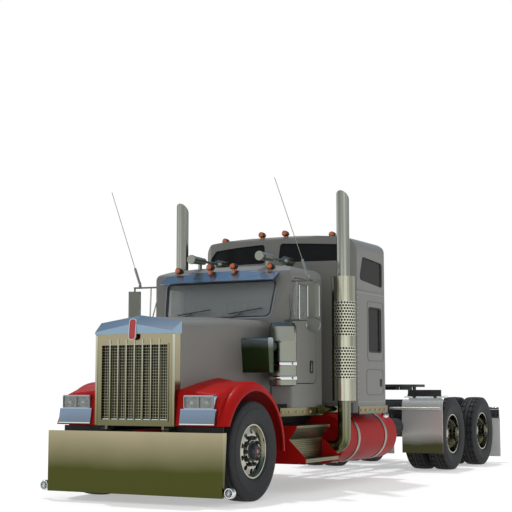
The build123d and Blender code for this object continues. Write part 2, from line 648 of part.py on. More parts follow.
def cab_hinge_pins():
    """Pin and its two lugs on the cab's pillar at each hinge."""
    pieces = []
    for z in HINGES:
        pin = Pos(HINGE_X, HINGE_Y, z) * Cylinder(HINGE_PIN_RADIUS, 2 * HINGE_HALF + 50)
        pieces.append(pin)
        for z0 in (z - HINGE_HALF - 25, z + HINGE_HALF + 1):
            pieces.append(along_z([(COWL_HALF_WIDTH + 55, HINGE_Y - 60), (HINGE_X, HINGE_Y - 14),
                                   (HINGE_X + 13, HINGE_Y), (HINGE_X, HINGE_Y + 13, 6),
                                   (HINGE_X - 13, HINGE_Y), (COWL_HALF_WIDTH + 115, HINGE_Y - 10)], z0, z0 + 24))
    return pieces


def under_floor(half, front, rear):
    """The open space between the side walls, below the floor that rests above the rails."""
    return block(-half, half, front - 100, rear + 100, 0, CAB_FLOOR)


def floor_mounts(places):
    """Pads that carry a floor on the rails."""
    pads = []
    for y in places:
        pads += both_sides(block(RAIL_HALF_WIDTH - RAIL_FLANGE, RAIL_HALF_WIDTH, y - 45, y + 45, RAIL_TOP, CAB_FLOOR + 5))
    return pads


def cab_shell():
    shell = cab_body(0) - cab_body(CAB_WALL) - under_floor(CAB_HALF_WIDTH - CAB_WALL, CAB_FRONT, CAB_REAR)
    shell -= along_y(WINDSHIELD, CAB_FRONT - 60, CAB_FRONT + 260)
    shell -= along_y(WALK_THROUGH, CAB_REAR - 100, CAB_REAR + 50)
    shell -= along_x(DOOR, -CAB_HALF_WIDTH - 100, -CAB_HALF_WIDTH + 130)
    shell -= along_x(DOOR, CAB_HALF_WIDTH - 130, CAB_HALF_WIDTH + 100)
    for piece in cab_hinge_pins():
        shell = shell + piece + right_of(piece)
    for pad in floor_mounts((CAB_FRONT + 100, CAB_REAR - 100)):
        shell = shell + pad
    return [largest(shell)]


def door_left():
    leaf = (cab_body(0) - cab_body(CAB_WALL)) & along_x(inset_outline(DOOR, DOOR_GAP), 700, 1100)
    leaf -= along_x(DOOR_WINDOW, 700, 1100)
    barrels = []
    for z in HINGES:
        barrel = Pos(HINGE_X, HINGE_Y, z) * Cylinder(13, 2 * HINGE_HALF)
        strap = along_z([(HINGE_X - 12, HINGE_Y), (HINGE_X + 8, HINGE_Y), (CAB_HALF_WIDTH + 8, HINGE_Y + 90),
                         (CAB_HALF_WIDTH - 5, HINGE_Y + 90), (CAB_HALF_WIDTH - 5, HINGE_Y + 25)],
                        z - HINGE_HALF, z + HINGE_HALF)
        barrels.append(barrel + strap - Pos(HINGE_X, HINGE_Y, z) * Cylinder(HINGE_PIN_RADIUS + RUNNING_GAP, 200))
    return [largest(leaf + barrels)]


def door_right():
    return [right_of(door_left()[0])]


def pane(body, outline_solid):
    """Glass of even thickness, set into a wall behind its outer face."""
    return (body(GLASS_DEPTH) - body(GLASS_DEPTH + GLASS)) & outline_solid


def door_glass_left():
    return [pane(cab_body, along_x(inset_outline(DOOR_WINDOW, RUNNING_GAP), 700, 1100))]


def door_glass_right():
    return [right_of(door_glass_left()[0])]


def windshield():
    return [pane(cab_body, along_y(inset_outline(WINDSHIELD, RUNNING_GAP), CAB_FRONT - 60, CAB_FRONT + 260))]


def sun_visor():
    """Bright visor over the windshield, swept back from a kink at its middle."""
    faces = []
    for x, back in ((0, 0), (770, 42)):
        y = CAB_FRONT - 72 + back
        faces.append(Plane((x, 0, 0), x_dir=(0, 1, 0), z_dir=(1, 0, 0)) * outline(
            [(y, 2440), (y + 220, 2575), (y + 220, 2560), (y + 12, 2432)]))
    half = loft(faces, ruled=True)
    return [largest(half + right_of(half) - cab_body(0))]


def dashboard():
    """Dash panel across the cab with the steering column and wheel in front of the driver."""
    front = CAB_FRONT + CAB_WALL
    dash = along_x([(front, 1500), (front, 1930, 30), (front + 120, 1930, 30), (front + 260, 1850, 40),
                    (front + 280, 1650, 30), (front + 160, 1500)], -660, 660)
    hub = Vector(SEATS[0], front + 355, 1830)
    lean = Vector(0, 0.5, 0.866)
    plane = Plane(hub, x_dir=(1, 0, 0), z_dir=lean)
    ring = plane * Torus(225, 17)
    spokes = plane * Box(440, 40, 14)
    boss = plane * Cylinder(60, 40)
    column = rod(hub, hub - lean * 330, 32)
    return [largest(dash + ring + spokes + boss + column)]


# Columns: seat middle along X
SEATS = (470.0, -470.0)
SEAT_Y = (1440.0, 1900.0)


def seats():
    """Two seats on their pedestals."""
    y0, y1 = SEAT_Y
    floor = CAB_FLOOR + CAB_WALL
    chairs = []
    for x in SEATS:
        chairs.append(along_x([(y0 + 60, floor), (y0 + 40, floor + 250), (y0, floor + 300), (y0 + 10, floor + 450, 50),
                               (y1 - 130, floor + 430, 40), (y1 - 60, floor + 1080, 25), (y1, floor + 1080, 25),
                               (y1 - 60, floor + 300), (y1 - 100, floor)], x - 240, x + 240))
    return chairs


# Columns: place along X, Y, Z
ROOF_LAMPS = (
    (630.0, 1180.0, 2610.0), (160.0, 1130.0, 2628.0),
    (780.0, 2600.0, 3135.0), (170.0, 2480.0, 3170.0),
)
LAMP_BULLET = 34.0


def marker_lamps():
    """Bullet lamps along both roofs on their feet, and a round lamp at each end of the bumper."""
    lamps = []
    roofs = cab_body(0) + sun_visor()[0] + sleeper_body(0)
    for x, y, z in ROOF_LAMPS:
        bullet = turned_y([(y - 62, 0), (y - 52, 24), (y - 30, LAMP_BULLET), (y + 40, LAMP_BULLET - 4),
                           (y + 92, 8), (y + 92, 0)], x, z)
        foot = block(x - 14, x + 14, y - 20, y + 60, z - 130, z)
        lamps += both_sides(highest(bullet + foot - roofs))
    face = -FRONT_OVERHANG + BUMPER_RETURN
    x = BUMPER_HALF_WIDTH
    round_lamp = turned_y([(face - 60, 0), (face - 60, 30), (face - 45, 52), (face - 15, 52), (face + 5, 20),
                           (face + 5, 0)], x + 62, 145)
    stem = block(x + RUNNING_GAP, x + 62, face - 45, face - 15, 132, 158)
    lamps += both_sides(round_lamp + stem)
    return lamps


def highest(shape):
    return max(shape.solids(), key=lambda solid: solid.center().Z)


def air_horns():
    """Two long trumpets on the roof, each with its bell, tube and rear diaphragm housing."""
    x, y0, y1, z = 470.0, 1190.0, 2060.0, 2748.0
    trumpet = turned_y([(y0, 0), (y0, 56), (y0 + 14, 58), (y0 + 80, 50), (y0 + 310, 42), (y0 + 335, 16),
                        (y1 - 240, 16), (y1 - 225, 46), (y1 - 205, 53), (y1 - 18, 53), (y1, 44), (y1, 0)], x, z)
    feet = [block(x - 15, x + 15, y - 20, y + 20, 2600, z) for y in (y0 + 220, y1 - 180)]
    return both_sides(highest(trumpet + feet - cab_body(0)))


MIRROR_X = 1222.0
MIRROR_Y = 1100.0
MIRROR_Z = 2180.0
MIRROR_TURN = 25.0


def mirrors():
    """Tall flat head in a tube bracket that stands off the cab's pillar, with a round one below."""
    head = extrude(RectangleRounded(152, 60, 20), 390)
    head = Pos(MIRROR_X, MIRROR_Y, MIRROR_Z - 195) * Rot(0, 0, -MIRROR_TURN) * head
    top, low = MIRROR_Z + 240, MIRROR_Z - 215
    post = rod((MIRROR_X, MIRROR_Y, low - 12), (MIRROR_X, MIRROR_Y, top), 11)
    upper = rod((880, 1150, top), (MIRROR_X + 11, MIRROR_Y, top), 11)
    lower = rod((800, 1085, low), (MIRROR_X + 11, MIRROR_Y, low), 11)
    clamp = Pos(MIRROR_X - 70, MIRROR_Y + 10, top + 14) * Cylinder(18, 44)
    round_head = Pos(MIRROR_X, MIRROR_Y, low - 60) * Rot(90, 0, -MIRROR_TURN) * Cylinder(84, 34)
    stalk = rod((MIRROR_X, MIRROR_Y, low - 20), (MIRROR_X, MIRROR_Y, low), 11)
    bracket = head + post + upper + lower + clamp + round_head + stalk
    return both_sides(largest(bracket - cab_body(0)))


ANTENNA_TIP = (1090.0, 392.0, 3508.0)


def antennas():
    """Whip aerials with a spring foot, standing on the mirrors' brackets."""
    foot = (MIRROR_X - 70, MIRROR_Y + 10, MIRROR_Z + 240 + 36)
    tip = Vector(*ANTENNA_TIP)
    rise = (tip - Vector(*foot)).normalized()
    spring_top = Vector(*foot) + rise * 235
    base = Pos(*foot) * (Pos(0, 0, 14) * Cylinder(14, 28))
    spring = rod(Vector(*foot) + rise * 18, spring_top, 12)
    whip = rod(spring_top, tip, 4)
    return both_sides(base + spring + whip)


AIR_CLEANER_X = 942.0
AIR_CLEANER_Y = 876.0
AIR_CLEANER_RADIUS = 162.0
DUCT_Z = 1745.0


def air_cleaners():
    """Banded polished cans beside the cowl, each with a duct into the cowl's side."""
    r = AIR_CLEANER_RADIUS
    can = turned_z([(0, 1210), (r - 30, 1210), (r - 6, 1222), (r - 6, 1278), (r, 1282), (r, 1322), (r - 6, 1326),
                    (r - 6, 1440), (r, 1444), (r, 1484), (r - 6, 1488), (r - 6, 1700), (r, 1712), (r - 8, 1880),
                    (r - 30, 1925), (0, 1932)], AIR_CLEANER_X, AIR_CLEANER_Y)
    duct = rod((AIR_CLEANER_X, AIR_CLEANER_Y, DUCT_Z), (815, 1110, DUCT_Z), 50)
    bracket = block(770, AIR_CLEANER_X - 40, AIR_CLEANER_Y, AIR_CLEANER_Y + 230, 1300, 1330)
    return both_sides(highest(can + duct + bracket - cab_body(0)))


def cab_boot():
    """Rubber boot round the passage between the cab and the sleeper."""
    ring = along_y([(-560, 1010, 60), (560, 1010, 60), (560, 2420, 60), (-560, 2420, 60)], CAB_REAR, 2600)
    ring -= along_y([(-520, 1050, 60), (520, 1050, 60), (520, 2380, 60), (-520, 2380, 60)],
                    CAB_REAR - 5, 2700)
    return [largest(ring - sleeper_body(0))]


# Sleeper

@cache
def sleeper_body(inset):
    """The sleeper's form, drawn inwards by inset: front view, side view and plan together."""
    half, floor = SLEEPER_HALF_WIDTH - inset, CAB_FLOOR + inset if inset else CAB_SKIRT
    front, rear = SLEEPER_FRONT + inset, SLEEPER_REAR - inset
    eave, ridge = SLEEPER_EAVE - inset, SLEEPER_RIDGE - inset
    front_view = along_y([(-half, floor - OVER), (-half, eave, 170 - inset), (0, ridge, 3000),
                          (half, eave, 170 - inset), (half, floor - OVER)], front - OVER, rear + OVER)
    side_view = along_x([(front - 20, floor), (front - 20, 2450), (front + 48, ridge - 20, 60),
                         (front + 420, ridge + 6, 300), (rear, ridge - 40, 110), (rear, floor)],
                        -half - OVER, half + OVER)
    corner = half - 110
    nose = [ThreePointArc((-corner, front + SLEEPER_BOW), (0, front), (corner, front + SLEEPER_BOW))]
    side, back = half + EASE, rear + EASE
    flank = FilletPolyline((corner, front + SLEEPER_BOW), (side, front + SLEEPER_BOW + 95), (side, back),
                           (-side, back), (-side, front + SLEEPER_BOW + 95), (-corner, front + SLEEPER_BOW),
                           radius=[60, 70, 70, 60])
    plan = extrude(Plane((0, 0, floor - OVER)) * make_face(nose + flank.edges()), ridge + 2 * OVER - floor)
    return front_view & side_view & plan


FRONT_PANE = [(90.0, 2790.0, 40.0), (985.0, 2790.0, 40.0), (985.0, 2900.0, 60.0), (880.0, 3000.0, 60.0),
              (115.0, 3040.0, 40.0)]
UPPER_PANE = [(2720.0, 2560.0, 50.0), (3480.0, 2500.0, 50.0), (3480.0, 2820.0, 50.0), (2830.0, 2860.0, 60.0)]
SIDE_PANE = [(3030.0, 1660.0, 30.0), (3420.0, 1660.0, 30.0), (3420.0, 2215.0, 30.0), (3030.0, 2215.0, 30.0)]
LUGGAGE_DOOR = [(2930.0, 1100.0, 50.0), (3480.0, 1100.0, 50.0), (3480.0, 1425.0, 50.0), (2930.0, 1425.0, 50.0)]


def sleeper_openings(gap):
    """Prisms through the walls at every sleeper window, drawn in by gap."""
    front = along_y(inset_outline(FRONT_PANE, gap), SLEEPER_FRONT - 50, SLEEPER_FRONT + 400)
    cuts = both_sides(front)
    for shape in (UPPER_PANE, SIDE_PANE):
        cuts += both_sides(along_x(inset_outline(shape, gap), SLEEPER_HALF_WIDTH - 130, SLEEPER_HALF_WIDTH + 60))
    return cuts


def sleeper_shell():
    shell = sleeper_body(0) - sleeper_body(SLEEPER_WALL)
    shell -= under_floor(SLEEPER_HALF_WIDTH - SLEEPER_WALL, SLEEPER_FRONT, SLEEPER_REAR)
    for cut in sleeper_openings(0):
        shell -= cut
    shell -= along_y(WALK_THROUGH, SLEEPER_FRONT - 50, SLEEPER_FRONT + 300)
    for pad in floor_mounts((SLEEPER_FRONT + 300, SLEEPER_REAR - 100)):
        shell = shell + pad
    return [largest(shell)]


def sleeper_glass():
    skin = sleeper_body(GLASS_DEPTH) - sleeper_body(GLASS_DEPTH + GLASS)
    return [largest(skin & cut) for cut in sleeper_openings(RUNNING_GAP)]


SKIRT_TOP = 965.0
SKIRT_BOTTOM = 867.0


def side_skirts():
    """Bright skirt strips under the cab and the sleeper, with a short tube between them."""
    z = (SKIRT_TOP + SKIRT_BOTTOM) / 2 + 24
    tube = rod((1005, 1760, z), (1005, 2185, z), 55)
    foot = block(CAB_HALF_WIDTH + 10, 1005, 1780, 1830, z - 20, z + 20)
    strips = []
    for half, y0, y1 in ((CAB_HALF_WIDTH, 810.0, CAB_REAR - 40),
                         (SLEEPER_HALF_WIDTH, SLEEPER_FRONT + 260, SLEEPER_REAR - 10)):
        strip = along_y([(half + 14, SKIRT_TOP), (half + 14, SKIRT_BOTTOM, 10), (half - 40, SKIRT_BOTTOM),
                         (half - 40, SKIRT_BOTTOM + 12), (half, SKIRT_BOTTOM + 12), (half, SKIRT_TOP)], y0, y1)
        if half == CAB_HALF_WIDTH:
            strip = strip + tube + foot
        strips += both_sides(strip)
    return strips


# Exhaust, tanks and steps

def exhaust_stacks():
    """Straight stacks with slash-cut tips, elbowed inwards under the cab."""
    bend = ELBOW_RADIUS
    path = FilletPolyline((380, STACK_Y, ELBOW_Z), (STACK_X, STACK_Y, ELBOW_Z), (STACK_X, STACK_Y, STACK_TOP),
                          radius=bend)
    pipe = sweep(Plane((380, STACK_Y, ELBOW_Z), z_dir=(1, 0, 0)) * Circle(STACK_RADIUS), path)
    bore = rod((STACK_X, STACK_Y, STACK_TOP - 700), (STACK_X, STACK_Y, STACK_TOP + 50), STACK_RADIUS - 6)
    slash = along_x([(STACK_Y - STACK_RADIUS, STACK_TOP), (STACK_Y + STACK_RADIUS + 20, STACK_TOP - 178),
                     (STACK_Y + STACK_RADIUS + 20, STACK_TOP + 60), (STACK_Y - STACK_RADIUS, STACK_TOP + 60)],
                    STACK_X - 200, STACK_X + 200)
    hanger = block(SPRING_X - 20, SPRING_X + 20, STACK_Y - 30, STACK_Y + 30, ELBOW_Z + 50, RAIL_BOTTOM)
    return both_sides(pipe - bore - slash + hanger)


def exhaust_shields():
    """Round heat shields on two collars round each stack."""
    outer, inner, pipe = SHIELD_RADIUS, SHIELD_RADIUS - 5, STACK_RADIUS + RUNNING_GAP
    shield = turned_z([(inner, SHIELD_BOTTOM), (outer, SHIELD_BOTTOM), (outer, SHIELD_TOP), (inner, SHIELD_TOP)],
                      STACK_X, STACK_Y)
    for z in (SHIELD_BOTTOM + 30, SHIELD_TOP - 40):
        shield = shield + turned_z([(pipe, z), (inner + 2, z), (inner + 2, z + 10), (pipe, z + 10)], STACK_X, STACK_Y)
    return both_sides(shield)


def fuel_tanks():
    """Round tanks with domed ends and a filler cap."""
    r = TANK_RADIUS
    tank = turned_y([(TANK_FRONT, 0), (TANK_FRONT, r - 70), (TANK_FRONT + 22, r, 26), (TANK_REAR - 22, r, 26),
                     (TANK_REAR, r - 70), (TANK_REAR, 0)], TANK_X, TANK_Z)
    tilt = math.radians(55)
    way = Vector(math.cos(tilt), 0, math.sin(tilt))
    centre = Vector(TANK_X, TANK_REAR - 160, TANK_Z)
    cap = rod(centre + way * (r - 20), centre + way * (r + 26), 48)
    return both_sides(tank + cap)


STRAPS = (TANK_FRONT + 430, TANK_REAR - 420)


def tank_straps():
    """J brackets from the rails under each tank, with the bands that go over it."""
    pieces = []
    for y in STRAPS:
        band = turned_y([(y - 32, TANK_RADIUS + RUNNING_GAP), (y + 32, TANK_RADIUS + RUNNING_GAP),
                         (y + 32, TANK_RADIUS + 7), (y - 32, TANK_RADIUS + 7)], TANK_X, TANK_Z)
        bracket = along_y([(RAIL_HALF_WIDTH, 300), (RAIL_HALF_WIDTH, 960), (RAIL_HALF_WIDTH + 30, 960),
                           (TANK_X, TANK_Z), (TANK_X, 262), (TANK_X - 120, 262)], y - 30, y + 30)
        bracket -= rod((TANK_X, y - 100, TANK_Z), (TANK_X, y + 100, TANK_Z), TANK_RADIUS + RUNNING_GAP)
        pieces += both_sides(largest(band + bracket))
    return pieces


# Columns of the step's outline: X, Z
STEP_PROFILE = [(1005.0, 760.0), (1005.0, 735.0), (905.0, 605.0), (1120.0, 395.0), (1120.0, 330.0), (RAIL_HALF_WIDTH + 20, 330.0),
                (RAIL_HALF_WIDTH + 20, 760.0)]


RESERVOIR_X = 575.0
RESERVOIR_Z = 640.0
RESERVOIR_RADIUS = 120.0
RESERVOIR_Y = (4350.0, 5240.0)


def air_reservoirs():
    """Air tanks hung beside the rails behind the fuel tanks."""
    r, (y0, y1) = RESERVOIR_RADIUS, RESERVOIR_Y
    tank = turned_y([(y0, 0), (y0, r - 50), (y0 + 40, r, 30), (y1 - 40, r, 30), (y1, r - 50), (y1, 0)],
                    RESERVOIR_X, RESERVOIR_Z)
    for y in (y0 + 180, y1 - 180):
        tank = tank + block(RAIL_HALF_WIDTH, RESERVOIR_X, y - 25, y + 25, RAIL_BOTTOM, RAIL_BOTTOM + 90)
    return both_sides(tank)


def step_boxes():
    """Battery boxes with a top plate, a leaning kick plate and a low tread."""
    x_in = RAIL_HALF_WIDTH
    box = block(x_in, 900, STEP_FRONT + 12.3, STEP_REAR - 12.3, 345, 735)
    top = block(x_in + 20, 1005, STEP_FRONT + 12.3, STEP_REAR - 12.3, 735, 760)
    kick = along_y([(1000, 740), (985, 740), (885, 605), (905, 605)], STEP_FRONT + 12.3, STEP_REAR - 12.3)
    tread = block(880, 1120, STEP_FRONT + 12.3, STEP_REAR - 12.3, 345, 390)
    body = box + top + kick + tread
    for i in range(5):
        z = 420 + i * 36
        body = body + block(898, 908, STEP_FRONT + 12.3, STEP_REAR - 12.3, z, z + 14)
    return both_sides(body)


def step_side_plates():
    """Painted end plates that follow the step's outline."""
    plates = []
    for y0 in (STEP_FRONT, STEP_REAR - 12):
        plates += both_sides(along_y(STEP_PROFILE, y0, y0 + 12))
    return plates


# Rear end

def rear_fenders():
    """Polished quarter fenders in front of the drive tyres, on tubes from the rails."""
    y = DRIVE_AXLES[0]
    r = TYRE_RADIUS + 75
    x0, x1 = 618.0, 1236.0
    low, high = 262.0, 1060.0
    face = along_x([(y - r, low), (y - r, high, 150), (y - r + 280, high + 25), (y - r + 280, high + 15),
                    (y - r + 10, high - 10, 140), (y - r + 10, low)], x0, x1)
    z = RAIL_TOP - 100
    tube = rod((RAIL_HALF_WIDTH, y - r - 10, z), (x1 - 30, y - r - 10, z), 18)
    return both_sides(face + tube)


def fifth_wheel_base():
    """Mounting plate across the rails with the two brackets that carry the top plate."""
    y = FIFTH_WHEEL_Y
    plate = block(-RAIL_HALF_WIDTH, RAIL_HALF_WIDTH, y - 330, y + 330, RAIL_TOP, RAIL_TOP + 16)
    base = plate
    for side in (-1, 1):
        bracket = along_x([(y - 150, RAIL_TOP + 16), (y - 55, FIFTH_WHEEL_PIVOT_Z + 30, 30),
                           (y + 55, FIFTH_WHEEL_PIVOT_Z + 30, 30), (y + 150, RAIL_TOP + 16)],
                          side * 330 - 25, side * 330 + 25)
        pin = rod((side * 300, y, FIFTH_WHEEL_PIVOT_Z), (side * 390, y, FIFTH_WHEEL_PIVOT_Z), 22)
        base = base + bracket + pin
    return [base]


def fifth_wheel_plate():
    """Dished top plate with its throat open to the rear and the jaw at its middle."""
    y = FIFTH_WHEEL_Y
    top, low = FIFTH_WHEEL_TOP, FIFTH_WHEEL_TOP - 40
    plan = [(-460, y - 120, 160), (-300, y - 420, 160), (300, y - 420, 160), (460, y - 120, 160), (470, y + 220, 40),
            (330, y + 560, 60), (-330, y + 560, 60), (-470, y + 220, 40)]
    plate = along_z(plan, low, top)
    throat = along_z([(-KINGPIN_RADIUS, y), (-KINGPIN_RADIUS, y + 120), (-250, y + 700), (250, y + 700),
                      (KINGPIN_RADIUS, y + 120), (KINGPIN_RADIUS, y)], low - 200, top + 50)
    throat = throat + Pos(0, y, top - 100) * Cylinder(KINGPIN_RADIUS, 400)
    ribs = [block(x - 14, x + 14, y - 200, y + 260, FIFTH_WHEEL_PIVOT_Z + 30, low + 5) for x in (-230, 230)]
    ears = []
    for side in (-1, 1):
        ear = along_x([(y - 45, low + 5), (y - 45, FIFTH_WHEEL_PIVOT_Z, 40), (y - 30, FIFTH_WHEEL_PIVOT_Z - 42, 20),
                       (y + 30, FIFTH_WHEEL_PIVOT_Z - 42, 20), (y + 45, FIFTH_WHEEL_PIVOT_Z, 40), (y + 45, low + 5)],
                      side * 380 - 12, side * 380 + 12)
        ears.append(ear - rod((side * 300, y, FIFTH_WHEEL_PIVOT_Z), (side * 420, y, FIFTH_WHEEL_PIVOT_Z), 22 + RUNNING_GAP))
    jaw = block(-90, 90, y - 90, y + 110, low - 45, low + 5)
    return [largest(plate + ribs + ears + jaw - throat)]


FLAP_X = (630.0, 1220.0)
FLAP_TOP = 780.0
FLAP_BOTTOM = 90.0
FLAP_THICKNESS = 12.0


def mud_flaps():
    rear = WHEELBASE + REAR_OVERHANG
    x0, x1 = FLAP_X
    return both_sides(block(x0, x1, rear - FLAP_THICKNESS, rear, FLAP_BOTTOM, FLAP_TOP))


def flap_hangers():
    """Bright arms from the rails that carry the mud flaps, with a lamp bar between the rails."""
    rear = WHEELBASE + REAR_OVERHANG - FLAP_THICKNESS
    x0, x1 = FLAP_X
    bar = block(x0, x1, rear - 30, rear, FLAP_TOP - 70, FLAP_TOP + 80)
    arm = rod((RAIL_HALF_WIDTH, rear - 26, 865), (x1, rear - 26, 865), 24)
    return both_sides(bar + arm)


def tail_lamps():
    """Round tail lamps in a bar on the end of the rails."""
    lamps = []
    seat = CROSSMEMBERS[-1] + 50
    for x in (170.0, 310.0):
        lamps += both_sides(turned_y([(seat, 0), (seat, 50), (seat + 22, 50), (seat + 32, 36), (seat + 32, 0)],
                                     x, RAIL_TOP - 65))
    return lamps


def dual_nodes():
    nodes = {}
    for row, y in zip(("front", "rear"), DRIVE_AXLES):
        wheel, tyres = ([Pos(0, y, 0) * solid for solid in solids] for solids in (dual_wheel(), dual_tyres()))
        nodes[f"{row}_drive_wheel_left"] = wheel
        nodes[f"{row}_drive_tyres_left"] = tyres
        nodes[f"{row}_drive_wheel_right"] = [right_of(s) for s in wheel]
        nodes[f"{row}_drive_tyres_right"] = [right_of(s) for s in tyres]
    return nodes


PIECES = (
    frame_rails, crossmembers, front_bumper, engine, front_axle, knuckle_left, knuckle_right, tie_rod,
    front_wheel_left, front_tyre_left, front_wheel_right, front_tyre_right, rear_axles, hood_shell, front_fenders,
    grille_shell, grille_bars, headlamps, intake_scoops, cab_shell, door_left, door_glass_left, door_right,
    door_glass_right, windshield, sun_visor, dashboard, seats, marker_lamps, air_horns, mirrors, antennas,
    air_cleaners, cab_boot, sleeper_shell, sleeper_glass, side_skirts, exhaust_stacks, exhaust_shields,
    fuel_tanks, tank_straps, air_reservoirs, step_boxes, step_side_plates, rear_fenders, fifth_wheel_base, fifth_wheel_plate,
    mud_flaps, flap_hangers, tail_lamps,
)

os.makedirs("parts", exist_ok=True)
solids = {piece.__name__: piece() for piece in PIECES}
solids.update(dual_nodes())
for name, shapes in solids.items():
    placed = [Pos(0, FRONT_AXLE_Y, 0) * shape for shape in shapes]
    export_step(placed[0] if len(placed) == 1 else Compound(children=placed), f"parts/{name}.step")
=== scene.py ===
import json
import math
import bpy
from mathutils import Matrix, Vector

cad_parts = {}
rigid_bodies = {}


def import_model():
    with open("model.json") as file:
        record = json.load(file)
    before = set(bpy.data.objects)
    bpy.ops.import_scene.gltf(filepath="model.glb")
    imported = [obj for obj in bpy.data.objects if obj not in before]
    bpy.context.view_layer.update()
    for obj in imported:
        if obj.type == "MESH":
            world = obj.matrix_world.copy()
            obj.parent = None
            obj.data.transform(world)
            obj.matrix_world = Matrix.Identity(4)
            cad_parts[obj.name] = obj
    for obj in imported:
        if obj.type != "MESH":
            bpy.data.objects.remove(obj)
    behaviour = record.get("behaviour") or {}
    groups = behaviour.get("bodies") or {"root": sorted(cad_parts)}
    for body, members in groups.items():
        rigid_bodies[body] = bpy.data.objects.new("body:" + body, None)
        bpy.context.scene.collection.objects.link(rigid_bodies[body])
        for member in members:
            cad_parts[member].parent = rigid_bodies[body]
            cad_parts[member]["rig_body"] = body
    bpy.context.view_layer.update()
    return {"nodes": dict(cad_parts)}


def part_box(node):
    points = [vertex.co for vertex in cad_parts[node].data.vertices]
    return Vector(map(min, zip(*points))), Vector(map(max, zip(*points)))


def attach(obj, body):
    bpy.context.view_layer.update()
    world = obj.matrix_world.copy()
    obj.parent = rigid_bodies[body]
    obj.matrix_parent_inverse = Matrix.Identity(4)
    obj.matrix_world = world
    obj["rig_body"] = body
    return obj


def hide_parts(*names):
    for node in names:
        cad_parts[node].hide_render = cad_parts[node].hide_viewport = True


bl_info = {
    "name": "Tractor unit looks",
    "version": (1, 0, 0),
    "blender": (4, 5, 0),
    "location": "3D View > Sidebar > Truck",
    "description": "Dresses the packed tractor unit with its paint, chrome, tyres, lamps and trim",
    "category": "Object",
}

import bpy
from bpy.props import FloatProperty, FloatVectorProperty, IntProperty, PointerProperty
from mathutils import Matrix, Vector

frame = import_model()
NODES = frame["nodes"]

# The source lays the truck out from the front axle, this far from the origin
FRONT_AXLE_Y = (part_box("front_tyre_left")[0].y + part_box("front_tyre_left")[1].y) / 2
SIDES = (("left", 1), ("right", -1))


def at(x, y, z):
    """A place in metres from the front axle's middle on the ground."""
    return Vector((x, y + FRONT_AXLE_Y, z))


# Exhaust shields: the stack's place, and the perforated sleeves round them
STACK_X = 1.149
STACK_Y = 2.097
SLEEVE_RADIUS = 0.1428
SLEEVE_PITCH = 0.035
SLEEVE_COLUMNS = 12
SLEEVE_TURN = math.radians(-32)
# Columns: height of the sleeve's lower edge, rows of holes
SLEEVES = ((1.300, 11), (1.815, 12))


def paint_colour(name, description, default):
    return FloatVectorProperty(name=name, description=description, subtype="COLOR", default=default, min=0, max=1)


def trim_length(name, description, default, low, high):
    return FloatProperty(name=name, description=description, default=default, min=low, max=high, unit="LENGTH")


class TruckColours(bpy.types.PropertyGroup):
    """Colours of the paint, the rubber and the lamps."""

    grey: paint_colour("Cab paint", "Warm grey of the cab, hood and sleeper", (0.215, 0.213, 0.196))
    red: paint_colour("Fender paint", "Red of the fenders, tanks and step ends", (0.46, 0.011, 0.009))
    rubber: paint_colour("Tyres", "Dark rubber of the tyres", (0.018, 0.018, 0.019))
    amber: paint_colour("Marker lamps", "Amber of the marker lamps", (0.85, 0.165, 0.02))
    badge: paint_colour("Badge", "Enamel of the plain badge on the grille's crown", (0.55, 0.012, 0.012))


class TruckSizes(bpy.types.PropertyGroup):
    """Sizes of the trim that is added to the solids."""

    tread_depth: trim_length("Tread depth", "Depth of the grooves in the tyres", 0.013, 0.002, 0.02)
    nut_radius: trim_length("Wheel nut", "Radius over the corners of a wheel nut", 0.021, 0.01, 0.03)
    nut_circle: trim_length("Nut circle", "Radius of the circle of wheel nuts", 0.143, 0.1, 0.18)
    rivet_radius: trim_length("Rivet", "Radius of the sleeper's rivets", 0.008, 0.003, 0.015)
    rivet_spacing: trim_length("Rivet spacing", "Distance between the sleeper's rivets", 0.065, 0.03, 0.2)
    mesh_pitch: trim_length("Grille mesh", "Distance between the wires behind the grille bars", 0.030, 0.015, 0.06)
    nuts: IntProperty(name="Wheel nuts", description="Nuts on each wheel", default=10, min=5, max=12)


# Materials

def feed(tree, made, inputs):
    """Links a socket, or sets a value, on each of a node's inputs that is named or numbered."""
    for key, value in inputs.items():
        if isinstance(value, bpy.types.NodeSocket):
            tree.links.new(value, made.inputs[key])
        else:
            made.inputs[key].default_value = value


def node(tree, kind, inputs=None, **settings):
    made = tree.nodes.new(kind)
    for key, value in settings.items():
        setattr(made, key, value)
    feed(tree, made, inputs or {})
    return made


def started(name):
    """A new material with its shader and the object's own coordinates."""
    made = bpy.data.materials.new(name)
    made.use_nodes = True
    tree = made.node_tree
    place = node(tree, "ShaderNodeTexCoord").outputs["Object"]
    return made, tree, tree.nodes["Principled BSDF"], place


def noise(tree, place, scale, detail=3.0, stretch=None):
    if stretch:
        place = node(tree, "ShaderNodeMapping", {"Vector": place, "Scale": stretch}).outputs["Vector"]
    return node(tree, "ShaderNodeTexNoise", {"Vector": place, "Scale": scale, "Detail": detail}).outputs["Fac"]


def between(tree, value, low, high):
    return node(tree, "ShaderNodeMapRange", {"Value": value, "To Min": low, "To Max": high}).outputs["Result"]


def shade(tree, factor, first, second):
    """One colour turning into another, each a socket or a plain colour."""
    first, second = (one if isinstance(one, bpy.types.NodeSocket) else (*one, 1) for one in (first, second))
    inputs = {"Factor": factor, "A": first, "B": second}
    return node(tree, "ShaderNodeMix", inputs, data_type="RGBA").outputs["Result"]


def sums(tree, operation, *values):
    return node(tree, "ShaderNodeMath", dict(enumerate(values)), operation=operation).outputs[0]


def roughen(tree, shader, height, strength, distance=0.001):
    bump = node(tree, "ShaderNodeBump", {"Height": height, "Strength": strength, "Distance": distance})
    tree.links.new(bump.outputs["Normal"], shader.inputs["Normal"])


def darker(tree, colour, share):
    return shade(tree, share, colour, (0, 0, 0))


